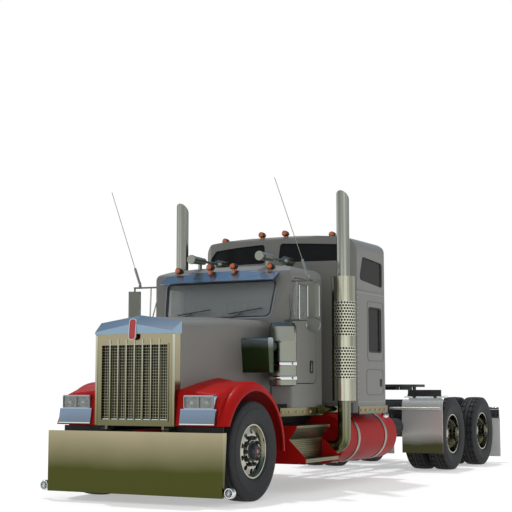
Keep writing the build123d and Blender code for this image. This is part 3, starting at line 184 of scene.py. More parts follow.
def shaded_at_edges(tree, colour, share):
    """The colour, darker by a share where the surface turns away from the eye: painted shade at its edges."""
    facing = node(tree, "ShaderNodeLayerWeight", {"Blend": 0.5}).outputs["Facing"]
    return shade(tree, sums(tree, "POWER", facing, 1.5), colour, darker(tree, colour, share))


def surface(name, colour, wear_and_reflection, patches, metallic, rough, grain, bump, coat=0.0, gloss=0.5, edge=0.0):
    """A finish whose colour and gloss wander between two values, with a fine grain, and painted shade at its edges
    as deep as edge says.
    """
    made, tree, shader, place = started(name)
    wander = noise(tree, place, patches)
    feed(tree, shader, {
        "Base Color": shaded_at_edges(tree, shade(tree, wander, colour, wear_and_reflection), edge),
        "Roughness": between(tree, noise(tree, place, patches * 3), *rough),
        "Metallic": metallic, "Coat Weight": coat, "Coat Roughness": 0.08, "Specular IOR Level": gloss,
    })
    roughen(tree, shader, noise(tree, place, grain), bump)
    return made


def reflection_streaked(tree, place, colour):
    """The colour with soft upright stripes of painted reflection, as tall polished tubes show them."""
    reflection_lines = noise(tree, place, 1.0, 1.0, (19.0, 19.0, 0.25))
    sharp = node(tree, "ShaderNodeMapRange", {"Value": reflection_lines, "From Min": 0.40, "From Max": 0.62})
    return shade(tree, sharp.outputs["Result"], darker(tree, colour, 0.55), colour)


def reflection_graded_chrome(name, painted_bright_reflection, painted_dark_reflection, low, high, rough=(0.1, 0.22), metallic=1.0, edge=0.0, cap=None,
                  reflection_streaks=False):
    """Polished plate with a painted reflection that darkens from one height down to another, and a painted sky
    reflection above a height.
    """
    made, tree, shader, place = started(name)
    height = node(tree, "ShaderNodeSeparateXYZ", {"Vector": place}).outputs["Z"]
    uneven = sums(tree, "MULTIPLY_ADD", noise(tree, place, 1.5), 0.12, height)
    # Painted reflection: bright above high, dark below low, with a little noise in the height
    dark_reflection_share = node(tree, "ShaderNodeMapRange", {"Value": uneven, "From Min": low, "From Max": high,
                                             "To Min": 1.0, "To Max": 0.0}).outputs["Result"]
    colour = shaded_at_edges(tree, shade(tree, dark_reflection_share, painted_bright_reflection, painted_dark_reflection), edge)
    if reflection_streaks:
        colour = reflection_streaked(tree, place, colour)
    # Painted sky reflection above the cap's height: one colour on tops, another on upright faces
    if cap:
        cap_height, painted_top_reflection, painted_front_reflection = cap
        geometry = node(tree, "ShaderNodeNewGeometry").outputs
        normal = node(tree, "ShaderNodeSeparateXYZ", {"Vector": geometry["Normal"]}).outputs
        upright = sums(tree, "LESS_THAN", normal["Z"], 0.35)
        above = shade(tree, upright, painted_top_reflection, painted_front_reflection)
        colour = shade(tree, sums(tree, "GREATER_THAN", height, cap_height), colour, above)
    feed(tree, shader, {"Base Color": colour, "Roughness": between(tree, dark_reflection_share, *rough), "Metallic": metallic})
    roughen(tree, shader, noise(tree, place, 90.0), 0.03)
    return made


def glass(name, colour, cover):
    """Thin tinted pane: cover is how much of what is behind it the tint hides."""
    made, tree, shader, place = started(name)
    feed(tree, shader, {
        "Base Color": (*colour, 1), "Specular IOR Level": 0.6,
        "Roughness": between(tree, noise(tree, place, 3.0), 0.02, 0.06),
        "Alpha": between(tree, noise(tree, place, 1.2), cover * 0.9, cover * 1.1),
    })
    return made


def lens(name, colour, flutes, coat):
    """Coloured lamp lens with moulded flutes."""
    made, tree, shader, place = started(name)
    across = node(tree, "ShaderNodeTexWave", {"Vector": place, "Scale": flutes}).outputs["Fac"]
    flutes_colour = shade(tree, across, colour, times(colour, 0.55))
    feed(tree, shader, {"Base Color": flutes_colour, "Roughness": 0.12, "Coat Weight": coat})
    roughen(tree, shader, across, 0.2)
    return made


def shield_steel(name):
    """Stainless shield, painted near black as shade where the perforated sleeves cover it."""
    made, tree, shader, place = started(name)
    split = node(tree, "ShaderNodeSeparateXYZ", {"Vector": place}).outputs
    across = sums(tree, "SUBTRACT", sums(tree, "ABSOLUTE", split["X"]), STACK_X)
    along = sums(tree, "SUBTRACT", split["Y"], at(0, STACK_Y, 0).y)
    turn = sums(tree, "SUBTRACT", sums(tree, "ARCTAN2", along, across), SLEEVE_TURN)
    covered = None
    for low, rows in SLEEVES:
        one = sums(tree, "MULTIPLY", sums(tree, "GREATER_THAN", split["Z"], low + 0.003),
                   sums(tree, "LESS_THAN", split["Z"], low + rows * SLEEVE_PITCH - 0.003))
        covered = one if covered is None else sums(tree, "ADD", covered, one)
    reach = SLEEVE_COLUMNS * SLEEVE_PITCH / SLEEVE_RADIUS / 2 - 0.05
    # Painted shade: near black and dull under the sleeves, within their reach round the stack
    painted_sleeve_shade = sums(tree, "MULTIPLY", covered, sums(tree, "LESS_THAN", sums(tree, "ABSOLUTE", turn), reach))
    # The steel itself gets painted edge shade and painted reflection stripes
    steel = shaded_at_edges(tree, shade(tree, noise(tree, place, 4.0), (0.66, 0.66, 0.53), (0.54, 0.54, 0.40)), 0.7)
    steel = reflection_streaked(tree, place, steel)
    feed(tree, shader, {
        "Base Color": shade(tree, painted_sleeve_shade, steel, (0.012, 0.012, 0.010)),
        "Metallic": sums(tree, "SUBTRACT", 1.0, painted_sleeve_shade), "Roughness": between(tree, painted_sleeve_shade, 0.22, 0.9),
    })
    roughen(tree, shader, noise(tree, place, 90.0), 0.03)
    return made


def diamond_plate(name):
    """Raised tread plate of aluminium, with painted light on the raised bars and painted shade on the plate between
    them.
    """
    made, tree, shader, place = started(name)
    split = node(tree, "ShaderNodeSeparateXYZ", {"Vector": place}).outputs
    first, other = (
        sums(tree, "SINE", sums(tree, "MULTIPLY", sums(tree, slant, split["Y"], split["Z"]), 150.0))
        for slant in ("ADD", "SUBTRACT"))
    bars = sums(tree, "GREATER_THAN", sums(tree, "MULTIPLY", first, other), 0.35)
    # Painted light and shade: the raised bars light, the plate between them dark
    feed(tree, shader, {
        "Base Color": shade(tree, bars, (0.10, 0.105, 0.06), (0.40, 0.34, 0.19)),
        "Roughness": between(tree, noise(tree, place, 20.0), 0.25, 0.45), "Metallic": 1.0,
    })
    roughen(tree, shader, bars, 0.5, 0.002)
    return made


FINISHES = {}
LENS_FLUTES = 90.0


def times(colour, share):
    return [c * share for c in colour]


def make_finishes(colours):
    grey, red, badge, amber, rubber = (
        tuple(one) for one in (colours.grey, colours.red, colours.badge, colours.amber, colours.rubber))
    # Columns: name, colour, second colour, which is wear on most finishes and painted reflection on the reflector,
    # patches, metallic, roughness, grain, bump, what else differs
    plain = (
        ("grey_paint", grey, times(grey, 0.9), 1.2, 0.0, (0.38, 0.48), 500.0, 0.03, {"coat": 0.08, "gloss": 0.35}),
        ("red_paint", red, times(red, 0.8), 1.4, 0.0, (0.32, 0.42), 500.0, 0.03, {"coat": 0.02, "gloss": 0.05}),
        # Darker grey: dark joints on the roof seams, painted shade in the pressed creases
        ("seam_and_crease_shade", times(grey, 0.55), times(grey, 0.45), 5.0, 0.0, (0.4, 0.5), 300.0, 0.1, {}),
        ("chrome", (0.74, 0.75, 0.74), (0.66, 0.67, 0.65), 3.0, 1.0, (0.06, 0.12), 120.0, 0.02, {}),
        ("mirror_shell", (0.19, 0.20, 0.17), (0.15, 0.16, 0.13), 5.0, 0.7, (0.3, 0.4), 100.0, 0.03, {}),
        # Where edge is given, the finish gets painted shade at its edges
        ("can_steel", (0.34, 0.35, 0.30), (0.26, 0.27, 0.22), 5.0, 1.0, (0.2, 0.3), 60.0, 0.04, {"edge": 0.4}),
        ("aluminium", (0.56, 0.54, 0.46), (0.40, 0.40, 0.31), 8.0, 1.0, (0.08, 0.16), 200.0, 0.03, {"edge": 0.6}),
        ("tyre", rubber, (0.028, 0.028, 0.029), 9.0, 0.0, (0.65, 0.85), 160.0, 0.15, {}),
        ("black_steel", (0.018, 0.018, 0.02), (0.032, 0.031, 0.03), 8.0, 0.0, (0.45, 0.65), 120.0, 0.1, {}),
        ("iron", (0.03, 0.03, 0.031), (0.055, 0.05, 0.045), 7.0, 0.2, (0.55, 0.75), 80.0, 0.25, {}),
        ("trim", (0.05, 0.05, 0.05), (0.075, 0.074, 0.072), 8.0, 0.0, (0.5, 0.7), 900.0, 0.2, {}),
        ("rubber", (0.02, 0.02, 0.021), (0.035, 0.035, 0.035), 10.0, 0.0, (0.55, 0.75), 300.0, 0.1, {}),
        ("flap_rubber", (0.80, 0.81, 0.79), (0.68, 0.69, 0.67), 6.0, 0.0, (0.5, 0.7), 200.0, 0.1, {}),
        ("cloth", (0.10, 0.10, 0.105), (0.15, 0.15, 0.15), 12.0, 0.0, (0.8, 0.95), 900.0, 0.5, {}),
        ("mirror_glass", (0.80, 0.82, 0.82), (0.74, 0.76, 0.76), 4.0, 1.0, (0.01, 0.04), 10.0, 0.0, {}),
        # The reflector's mottle of bright and near black patches is a painted reflection
        ("reflector", (0.62, 0.66, 0.62), (0.03, 0.045, 0.03), 26.0, 1.0, (0.08, 0.3), 30.0, 0.8, {}),
        ("dark_glass", (0.012, 0.013, 0.014), (0.02, 0.021, 0.022), 2.0, 0.0, (0.15, 0.25), 10.0, 0.0,
         {"gloss": 0.05}),
        ("badge_enamel", badge, times(badge, 0.75), 30.0, 0.0, (0.12, 0.2), 200.0, 0.02, {"coat": 0.8}),
        ("sleeve_steel", (0.70, 0.70, 0.57), (0.58, 0.58, 0.44), 4.0, 1.0, (0.2, 0.26), 90.0, 0.03, {"edge": 0.7}),
        ("dark_housing", (0.014, 0.014, 0.011), (0.03, 0.028, 0.02), 30.0, 0.0, (0.3, 0.45), 300.0, 0.1,
         {"gloss": 0.2}),
        ("grille_inside_shade", (0.010, 0.010, 0.009), (0.018, 0.018, 0.016), 20.0, 0.0, (0.7, 0.9), 300.0, 0.1,
         {"gloss": 0.1}),
        # The visor's blue is a painted reflection of the sky
        ("visor_painted_sky_reflection", (0.33, 0.42, 0.54), (0.27, 0.36, 0.48), 3.0, 1.0, (0.16, 0.22), 120.0, 0.02, {}),
        ("trim_steel", (0.40, 0.41, 0.40), (0.31, 0.32, 0.31), 6.0, 0.8, (0.3, 0.4), 120.0, 0.03, {}),
        ("rivet", (0.66, 0.66, 0.62), (0.56, 0.56, 0.52), 20.0, 0.0, (0.3, 0.4), 200.0, 0.02, {}),
        ("wire", (0.27, 0.265, 0.17), (0.38, 0.36, 0.25), 20.0, 1.0, (0.25, 0.4), 100.0, 0.05, {}),
    )
    for name, *values, more in plain:
        FINISHES[name] = surface(name, *values, **more)
    # The crown's painted sky reflection above this height: pale on its top, bluer on its front
    crown = (1.757, (0.72, 0.74, 0.76), (0.2592, 0.37, 0.4712))
    # Columns: name, colour of the painted bright reflection, colour of the painted dark reflection, heights between
    # which the painted reflection darkens downwards, what else differs
    painted_dark_reflection = (
        ("bumper_chrome", (0.46, 0.40, 0.265), (0.066, 0.072, 0.018), 0.40, 0.92, {}),
        ("skirt_chrome", (0.20, 0.19, 0.10), (0.085, 0.086, 0.026), 0.90, 1.06, {}),
        ("fender_chrome", (0.72, 0.73, 0.70), (0.085, 0.09, 0.028), 0.44, 0.60,
         {"rough": (0.22, 0.3), "metallic": 0.35}),
        ("lamp_chrome", (0.30, 0.37, 0.46), (0.22, 0.26, 0.28), 0.84, 0.98, {}),
        ("scoop_chrome", (0.34, 0.38, 0.40), (0.035, 0.055, 0.02), 1.68, 1.80, {}),
        ("grille_chrome", (0.36, 0.325, 0.21), (0.105, 0.108, 0.05), 0.70, 1.75, {"cap": crown}),
        # The stacks also get painted edge shade and painted reflection stripes
        ("stack_steel", (0.52, 0.54, 0.47), (0.16, 0.17, 0.06), 0.40, 2.2,
         {"rough": (0.16, 0.26), "edge": 0.75, "reflection_streaks": True}),
        ("bar_chrome", (0.56, 0.55, 0.46), (0.15, 0.16, 0.055), 0.80, 1.80, {"rough": (0.14, 0.2)}),
    )
    for name, *values, more in painted_dark_reflection:
        FINISHES[name] = reflection_graded_chrome(name, *values, **more)
    # Columns: name, colour, clear coat
    lenses = (
        ("amber_lens", amber, 0.8), ("red_lens", (0.42, 0.01, 0.01), 0.8), ("skirt_amber", (0.92, 0.30, 0.02), 0.1),
    )
    for name, colour, coat in lenses:
        FINISHES[name] = lens(name, colour, LENS_FLUTES, coat)
    FINISHES["clear_glass"] = glass("clear_glass", (0.40, 0.43, 0.42), 0.42)
    FINISHES["lamp_glass"] = glass("lamp_glass", (0.30, 0.33, 0.31), 0.28)
    FINISHES["tread_plate"] = diamond_plate("tread_plate")
    FINISHES["shield_steel"] = shield_steel("shield_steel")


# The finish of each solid that is neither a tyre nor a wheel
NODE_FINISHES = {
    "frame_rails": "black_steel", "crossmembers": "black_steel", "front_bumper": "bumper_chrome",
    "engine": "iron", "front_axle": "iron", "knuckle_left": "iron", "knuckle_right": "iron",
    "tie_rod": "iron", "rear_axles": "iron", "hood_shell": "grey_paint", "seats": "cloth",
    "front_fenders": "red_paint", "grille_shell": "grille_chrome", "grille_bars": "bar_chrome",
    "headlamps": "lamp_chrome", "intake_scoops": "scoop_chrome", "cab_shell": "grey_paint",
    "door_left": "grey_paint", "door_right": "grey_paint", "door_glass_left": "clear_glass",
    "door_glass_right": "clear_glass", "windshield": "clear_glass", "sun_visor": "visor_painted_sky_reflection",
    "dashboard": "trim", "marker_lamps": "amber_lens", "air_horns": "can_steel", "mirrors": "mirror_shell",
    "antennas": "can_steel", "air_cleaners": "can_steel", "cab_boot": "rubber",
    "sleeper_shell": "grey_paint", "sleeper_glass": "dark_glass", "side_skirts": "skirt_chrome",
    "exhaust_stacks": "stack_steel", "exhaust_shields": "shield_steel", "fuel_tanks": "red_paint",
    "tank_straps": "can_steel", "air_reservoirs": "black_steel", "step_boxes": "tread_plate",
    "step_side_plates": "red_paint", "rear_fenders": "fender_chrome", "fifth_wheel_base": "black_steel",
    "fifth_wheel_plate": "black_steel", "mud_flaps": "flap_rubber", "flap_hangers": "chrome",
    "tail_lamps": "red_lens",
}


# Modelling by hand

def mode(name):
    bpy.ops.object.mode_set(mode=name)


def select(action):
    bpy.ops.mesh.select_all(action=action)


def clear():
    """Back to object mode with nothing selected."""
    if bpy.context.object and bpy.context.object.mode != "OBJECT":
        mode("OBJECT")
    bpy.ops.object.select_all(action="DESELECT")


def only(piece):
    clear()
    piece.select_set(True)
    bpy.context.view_layer.objects.active = piece


def settled(piece):
    """The piece's place goes into its mesh."""
    only(piece)
    bpy.ops.object.transform_apply(location=True, rotation=True, scale=True)
    return piece


def put(piece, centre, forward=(0, 0, 1), up=(0, 1, 0)):
    """Turns the piece's own Z to forward and its Y towards up, and moves it to centre."""
    z = Vector(forward).normalized()
    x = Vector(up).cross(z).normalized()
    turn = Matrix((x, z.cross(x), z)).transposed().to_4x4()
    piece.matrix_world = Matrix.Translation(Vector(centre)) @ turn
    return settled(piece)


def ahead(piece, place):
    """Sets the piece upright at a place, with its own Z to the truck's front."""
    return put(piece, place, (0, -1, 0), (0, 0, 1))


def aside(piece, place, sign=1):
    """Sets the piece upright at a place, with its own Z to the truck's left, or to its right."""
    return put(piece, place, (sign, 0, 0), (0, 0, 1))


def tidy(piece):
    """Merges doubles and points the faces outwards."""
    only(piece)
    mode("EDIT")
    select("SELECT")
    bpy.ops.mesh.remove_doubles(threshold=0.00005)
    bpy.ops.mesh.normals_make_consistent(inside=False)
    mode("OBJECT")
    return piece


def drawn(points):
    """A line drawn point by point by extruding a vertex, left in edit mode."""
    clear()
    bpy.ops.mesh.primitive_plane_add(size=0.001, location=points[0])
    piece = settled(bpy.context.object)
    mode("EDIT")
    bpy.ops.mesh.select_mode(type="VERT")
    select("SELECT")
    bpy.ops.mesh.merge(type="CENTER")
    for a, b in zip(points, points[1:]):
        bpy.ops.mesh.extrude_region_move(TRANSFORM_OT_translate={"value": Vector(b) - Vector(a)})
    return piece


def turned(points, steps):
    """A solid turned about Z from (height, radius) points."""
    piece = drawn([(r, 0, h) for h, r in points])
    select("SELECT")
    bpy.ops.mesh.spin(steps=steps, angle=2 * math.pi, center=(0, 0, 0), axis=(0, 0, 1))
    mode("OBJECT")
    return tidy(piece)


def plate(points, radius, thickness, segments=4, rim=0.0):
    """A flat outline in X and Y with rounded corners, thickened along Z. A rim leaves only a ring that wide."""
    piece = drawn([(x, y, 0) for x, y in points])
    select("SELECT")
    bpy.ops.mesh.edge_face_add()
    bpy.ops.mesh.bevel(offset=radius, segments=segments, affect="VERTICES")
    if rim:
        bpy.ops.mesh.select_mode(type="FACE")
        select("SELECT")
        bpy.ops.mesh.inset(thickness=rim)
        bpy.ops.mesh.delete(type="FACE")
    select("SELECT")
    bpy.ops.mesh.extrude_region_move(TRANSFORM_OT_translate={"value": (0, 0, thickness)})
    mode("OBJECT")
    return tidy(piece)


def band(points, radius, width, thickness, segments=4):
    """A flat ring inside a rounded outline, thickened along Z."""
    return plate(points, radius, thickness, segments, width)


def oblong(width, height):
    """Corners of a rectangle about the middle."""
    w, h = width / 2, height / 2
    return [(-w, -h), (w, -h), (w, h), (-w, h)]


def bar(start, end, radius, sides=16):
    """A round bar with eased ends between two places."""
    start, end = Vector(start), Vector(end)
    length = (end - start).length
    ease = min(radius * 0.3, length * 0.2)
    piece = turned([(0, 0), (0, radius - ease), (ease, radius), (length - ease, radius), (length, radius - ease),
                    (length, 0)], sides)
    along = end - start
    return put(piece, start, along, (0, 0, 1) if abs(along.normalized().z) < 0.9 else (0, 1, 0))


def chunk(low, high, ease=0.004):
    """A block between two corners with eased edges."""
    clear()
    low, high = Vector(low), Vector(high)
    bpy.ops.mesh.primitive_cube_add(size=1, location=(low + high) / 2)
    piece = bpy.context.object
    piece.scale = high - low
    settled(piece)
    mode("EDIT")
    select("SELECT")
    bpy.ops.mesh.bevel(offset=ease, segments=2, affect="EDGES")
    mode("OBJECT")
    return piece


def copied(piece, move=(0, 0, 0)):
    only(piece)
    bpy.ops.object.duplicate()
    made = bpy.context.object
    made.location = Vector(move)
    return settled(made)


def mirrored(piece):
    """The same piece on the truck's other side."""
    only(piece)
    bpy.ops.object.duplicate()
    made = bpy.context.object
    made.scale.x = -1
    settled(made)
    return tidy(made)


def joined(pieces):
    clear()
    for piece in pieces:
        piece.select_set(True)
    bpy.context.view_layer.objects.active = pieces[0]
    if len(pieces) > 1:
        bpy.ops.object.join()
    return bpy.context.object


def both(piece):
    return joined([piece, mirrored(piece)])


def dressed(piece, name, body, finish, angle=35):
    """Names the finished piece, gives it its finish in its own slot, and lets it ride."""
    only(piece)
    bpy.ops.object.shade_smooth_by_angle(angle=math.radians(angle))
    piece.name = name
    piece.data.materials.clear()
    piece.data.materials.append(FINISHES[finish])
    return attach(piece, body)


def pick_faces(piece, test):
    """Selects the faces whose middle and normal pass the test, and goes to edit mode."""
    only(piece)
    mode("EDIT")
    bpy.ops.mesh.select_mode(type="FACE")
    select("DESELECT")
    mode("OBJECT")
    for face in piece.data.polygons:
        face.select = test(face.center, face.normal)
    mode("EDIT")


# Tyres and wheels

# Columns: distance from the tyre's middle, radius, in metres for a 1.054 m tyre
SIDEWALL = (
    (0.098, 0.288), (0.112, 0.294), (0.121, 0.310), (0.124, 0.312), (0.131, 0.345), (0.136, 0.380), (0.1382, 0.410),
    (0.1368, 0.436), (0.139, 0.440), (0.139, 0.444), (0.1345, 0.448), (0.130, 0.474), (0.126, 0.492), (0.119, 0.511),
    (0.111, 0.5205),
)


def tyre_outline(depth):
    """The tyre's closed outline, from one bead over the tread to the other."""
    half = list(SIDEWALL)
    half += [(0.091, 0.5235), (0.089, 0.5235 - depth), (0.081, 0.5235 - depth), (0.079, 0.5245), (0.036, 0.526),
             (0.034, 0.526 - depth), (0.026, 0.526 - depth), (0.024, 0.5268)]
    over = half + [(-x, r) for x, r in reversed(half)]
    return over + [over[0]]


def tyre(centre, depth, steps, lugs):
    piece = turned(tyre_outline(depth), steps)
    aside(piece, centre)
    if lugs:
        def on_lug_cut(middle, normal):
            arm = middle - Vector(centre)
            radius = math.hypot(arm.y, arm.z)
            step = int((math.atan2(arm.z, arm.y) % (2 * math.pi)) / (2 * math.pi) * steps)
            return radius > 0.519 and 0.036 < abs(arm.x) < 0.12 and step % lugs == 0
        pick_faces(piece, on_lug_cut)
        bpy.ops.mesh.extrude_region_shrink_fatten(TRANSFORM_OT_shrink_fatten={"value": -depth * 0.8})
        mode("OBJECT")
    return piece


class TRUCK_OT_tyres(bpy.types.Operator):
    """Ribbed front tyres and lugged drive tyres in place of the plain rings"""

    bl_idname = "truck.tyres"
    bl_label = "Tyres"

    def execute(self, context):
        depth = context.scene.truck_sizes.tread_depth
        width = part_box("front_tyre_left")[1].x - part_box("front_tyre_left")[0].x
        for name in [one for one in NODES if "_tyre" in one]:
            low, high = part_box(name)
            y, z = (low.y + high.y) / 2, (low.z + high.z) / 2
            twin = "drive" in name
            middles = (low.x + width / 2, high.x - width / 2) if twin else ((low.x + high.x) / 2,)
            steps, lugs = (150, 5) if twin else (108, 0)
            rings = [tyre((x, y, z), depth, steps, lugs) for x in middles]
            piece = dressed(joined(rings), "tread_" + name, NODES[name]["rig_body"], "tyre", 28)
            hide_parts(name)
        return {"FINISHED"}


NUT_HEIGHT = 0.034
# Columns: height, radius
CAP_BOLT = ((0, 0), (0, 0.009), (0.008, 0.009), (0.010, 0.006), (0.010, 0))
FLANGE_BOLT = ((0, 0), (0, 0.011), (0.012, 0.011), (0.015, 0.007), (0.015, 0))
FLAP_BOLT = ((0, 0), (0, 0.012), (0.008, 0.012), (0.010, 0.008), (0.010, 0))
HUB_PLUG = ((0, 0), (0, 0.021), (0.004, 0.02), (0.006, 0.014), (0.006, 0))
AXLE_FLANGE = ((-0.03, 0), (-0.03, 0.104), (0.006, 0.104), (0.012, 0.098), (0.012, 0.072), (0.030, 0.060),
               (0.034, 0.04), (0.034, 0))


def wheel_nut(radius, height):
    """Outline of a nut with a flange and the stud's end."""
    return [(0, 0), (0, radius * 1.25), (height * 0.18, radius * 1.2), (height * 0.2, radius),
            (height * 0.85, radius), (height, radius * 0.8), (height, radius * 0.45),
            (height * 1.25, radius * 0.4), (height * 1.25, 0)]


def hub_cap(reach):
    """Outline of an oil cap that stands as far out as reach."""
    return [(-0.02, 0), (-0.02, 0.112), (0.012, 0.112), (0.020, 0.104), (0.024, 0.086), (reach + 0.004, 0.080),
            (reach + 0.018, 0.070), (reach + 0.022, 0.05), (reach + 0.022, 0)]


def heads(outline, centre, out, count, circle, shift=0.0):
    """Six-sided heads in a circle on a wheel's face."""
    made = []
    for i in range(count):
        turn = 2 * math.pi * (i + shift) / count
        middle = Vector(centre) + Vector((0, math.cos(turn), math.sin(turn))) * circle
        made.append(aside(turned(outline, 6), middle, out))
    return made


class TRUCK_OT_hubs(bpy.types.Operator):
    """Wheel nuts, front hub caps and drive axle flanges"""

    bl_idname = "truck.hubs"
    bl_label = "Hubs and nuts"

    def nuts(self, sizes, body, out, finish):
        """Adds the nuts and returns where the face stands and the wheel's middle in Y and Z."""
        low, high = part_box(body)
        y, z = (low.y + high.y) / 2, (low.z + high.z) / 2
        face = disc_face(body, out, sizes.nut_circle)
        outline = wheel_nut(sizes.nut_radius, NUT_HEIGHT)
        nuts = heads(outline, (face, y, z), out, sizes.nuts, sizes.nut_circle)
        dressed(joined(nuts), "nuts_" + body, body, finish, 25)
        return face, y, z

    def front(self, sizes, body, out):
        face, y, z = self.nuts(sizes, body, out, "black_steel")
        low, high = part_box(body)
        reach = max(out * low.x, out * high.x) - out * face
        cap = aside(turned(hub_cap(reach), 40), (face, y, z), out)
        bolts = heads(CAP_BOLT, (face + out * (reach + 0.018), y, z), out, 6, 0.061, 0.5)
        dressed(joined([cap] + bolts), "hub_cap_" + body, body, "black_steel")
        plug = aside(turned(HUB_PLUG, 24), (face + out * (reach + 0.021), y, z), out)
        dressed(plug, "hub_plug_" + body, body, "badge_enamel")

    def drive(self, sizes, body, out):
        face, y, z = self.nuts(sizes, body, out, "chrome")
        end = disc_face(body, out, 0.02)
        flange = aside(turned(AXLE_FLANGE, 36), (end, y, z), out)
        bolts = heads(FLANGE_BOLT, (end + out * 0.011, y, z), out, 8, 0.086)
        dressed(joined([flange] + bolts), "axle_flange_" + body, body, "aluminium")

    def execute(self, context):
        sizes = context.scene.truck_sizes
        for side, out in SIDES:
            self.front(sizes, "front_wheel_" + side, out)
            for row in ("front", "rear"):
                self.drive(sizes, f"{row}_drive_wheel_{side}", out)
        return {"FINISHED"}


def disc_face(name, out, radius):
    """How far out the wheel's face stands at a radius, found by rays onto the solid."""
    low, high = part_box(name)
    y, z = (low.y + high.y) / 2, (low.z + high.z) / 2
    outside = max(abs(low.x), abs(high.x)) * out + out * 0.2
    reach = None
    for degrees in range(15, 375, 30):
        turn = math.radians(degrees)
        start = Vector((outside, y + radius * math.cos(turn), z + radius * math.sin(turn)))
        hit, place = NODES[name].ray_cast(start, Vector((-out, 0, 0)))[:2]
        if hit and (reach is None or out * place.x > out * reach):
            reach = place.x
    if reach is None:
        raise RuntimeError(f"no face found on {name}")
    return reach


# The grille's opening in the solids, its face and the plane behind the mesh
OPENING_HALF_WIDTH = 0.4117
OPENING_BOTTOM = 0.8583
OPENING_TOP = 1.6397
GRILLE_FACE = -0.715
MESH_BACK = -0.690
BADGE_LEAN = (0, -1, 0.10)


def spaced(first, last, pitch):
    """Places between two ends, about a pitch apart."""
    count = int((last - first) / pitch)
    return [first + (last - first) * i / count for i in range(1, count)]


class TRUCK_OT_nose(bpy.types.Operator):
    """Wire mesh, mouldings and the plain badge of the grille"""

    bl_idname = "truck.nose"
    bl_label = "Nose"

    def execute(self, context):
        pitch = context.scene.truck_sizes.mesh_pitch
        low = at(-OPENING_HALF_WIDTH, GRILLE_FACE, OPENING_BOTTOM)
        high = at(OPENING_HALF_WIDTH, MESH_BACK, OPENING_TOP)
        middle = (low.z + high.z) / 2
        back = high.y - 0.008
        wires = [chunk((x - 0.0027, back - 0.004, low.z), (x + 0.0027, back + 0.002, high.z), 0.001)
                 for x in spaced(low.x, high.x, pitch)]
        wires += [chunk((low.x, back - 0.006, z - 0.0032), (high.x, back, z + 0.0032), 0.001)
                  for z in spaced(low.z, high.z, pitch)]
        dressed(joined(wires), "grille_mesh", "hood", "wire")
        # A near black screen just behind the wires: painted shade of the grille's inside
        screen = plate(oblong(high.x - low.x - 0.002, high.z - low.z - 0.002), 0.012, 0.003)
        ahead(screen, (0, back + 0.0065, middle))
        dressed(screen, "grille_screen", "hood", "grille_inside_shade")
        frame_ring = band(oblong(high.x - low.x + 0.032, high.z - low.z + 0.032), 0.014, 0.015, 0.009)
        ahead(frame_ring, (0, low.y + 0.001, middle))
        dressed(frame_ring, "grille_opening_frame", "hood", "grille_chrome")
        posts = bar(at(0.484, -0.7125, 0.800), at(0.484, -0.7125, 1.752), 0.015, 20)
        dressed(both(posts), "grille_post_mouldings", "hood", "bar_chrome")
        sill = chunk((low.x + 0.001, low.y + 0.002, low.z - 0.0005),
                     (high.x - 0.001, back - 0.007, low.z + 0.012), 0.003)
        dressed(sill, "grille_sill", "hood", "chrome")
        crown_low, crown_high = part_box("grille_shell")
        foot = Vector((0, crown_low.y + 0.004, crown_high.z - 0.157))
        badge = put(plate(oblong(0.078, 0.212), 0.030, 0.014, 6), foot, BADGE_LEAN, (0, 0, 1))
        rim = put(band(oblong(0.090, 0.226), 0.036, 0.007, 0.017, 6), foot, BADGE_LEAN, (0, 0, 1))
        dressed(badge, "crown_badge", "hood", "badge_enamel")
        dressed(rim, "crown_badge_rim", "hood", "chrome")
        return {"FINISHED"}


# The square lamps: the floor of their pocket, their heights, and the edges of each in X
LAMP_FLOOR = -0.672
LAMP_BOTTOM = 0.986
LAMP_TOP = 1.102
LAMPS = (("inner", 0.602, 0.762), ("outer", 0.776, 0.936))
# Columns: height, radius
LAMP_BULB = ((0, 0), (0, 0.020), (0.003, 0.019), (0.006, 0.010), (0.0065, 0))


class TRUCK_OT_headlamps(bpy.types.Operator):
    """Twin square lamps with reflectors behind clear lenses"""

    bl_idname = "truck.headlamps"
    bl_label = "Headlamps"

    def execute(self, context):
        for name, x0, x1 in LAMPS:
            middle = at((x0 + x1) / 2, LAMP_FLOOR, (LAMP_BOTTOM + LAMP_TOP) / 2)
            wide, tall = x1 - x0, LAMP_TOP - LAMP_BOTTOM
            inside = oblong(wide - 0.004, tall - 0.004)
            around = oblong(wide + 0.010, tall + 0.010)
            # Columns: name, piece, distance from the pocket's floor, finish, slot
            layers = (
                ("reflectors", plate(inside, 0.010, 0.004), 0, "reflector", "chrome"),
                ("bulbs", turned(LAMP_BULB, 20), 0.003, "mirror_glass", "chrome"),
                ("lenses", plate(inside, 0.010, 0.003), 0.0105, "lamp_glass", "clear_glass"),
                ("bezels", band(around, 0.015, 0.0055, 0.009), 0.0115, "trim_steel", "chrome"),
            )
            for layer, piece, out, finish, slot in layers:
                ahead(piece, middle + Vector((0, -out, 0)))
                dressed(both(piece), f"lamp_{layer}_{name}", "hood", finish)
        edge = chunk(at(0.560, -0.7235, 0.816), at(0.972, -0.7150, 0.829), 0.003)
        dressed(both(edge), "lamp_panel_edges", "hood", "chrome")
        return {"FINISHED"}


# Half widths of the windshield at its foot and its head
WINDSHIELD_FOOT = 0.700
WINDSHIELD_HEAD = 0.742


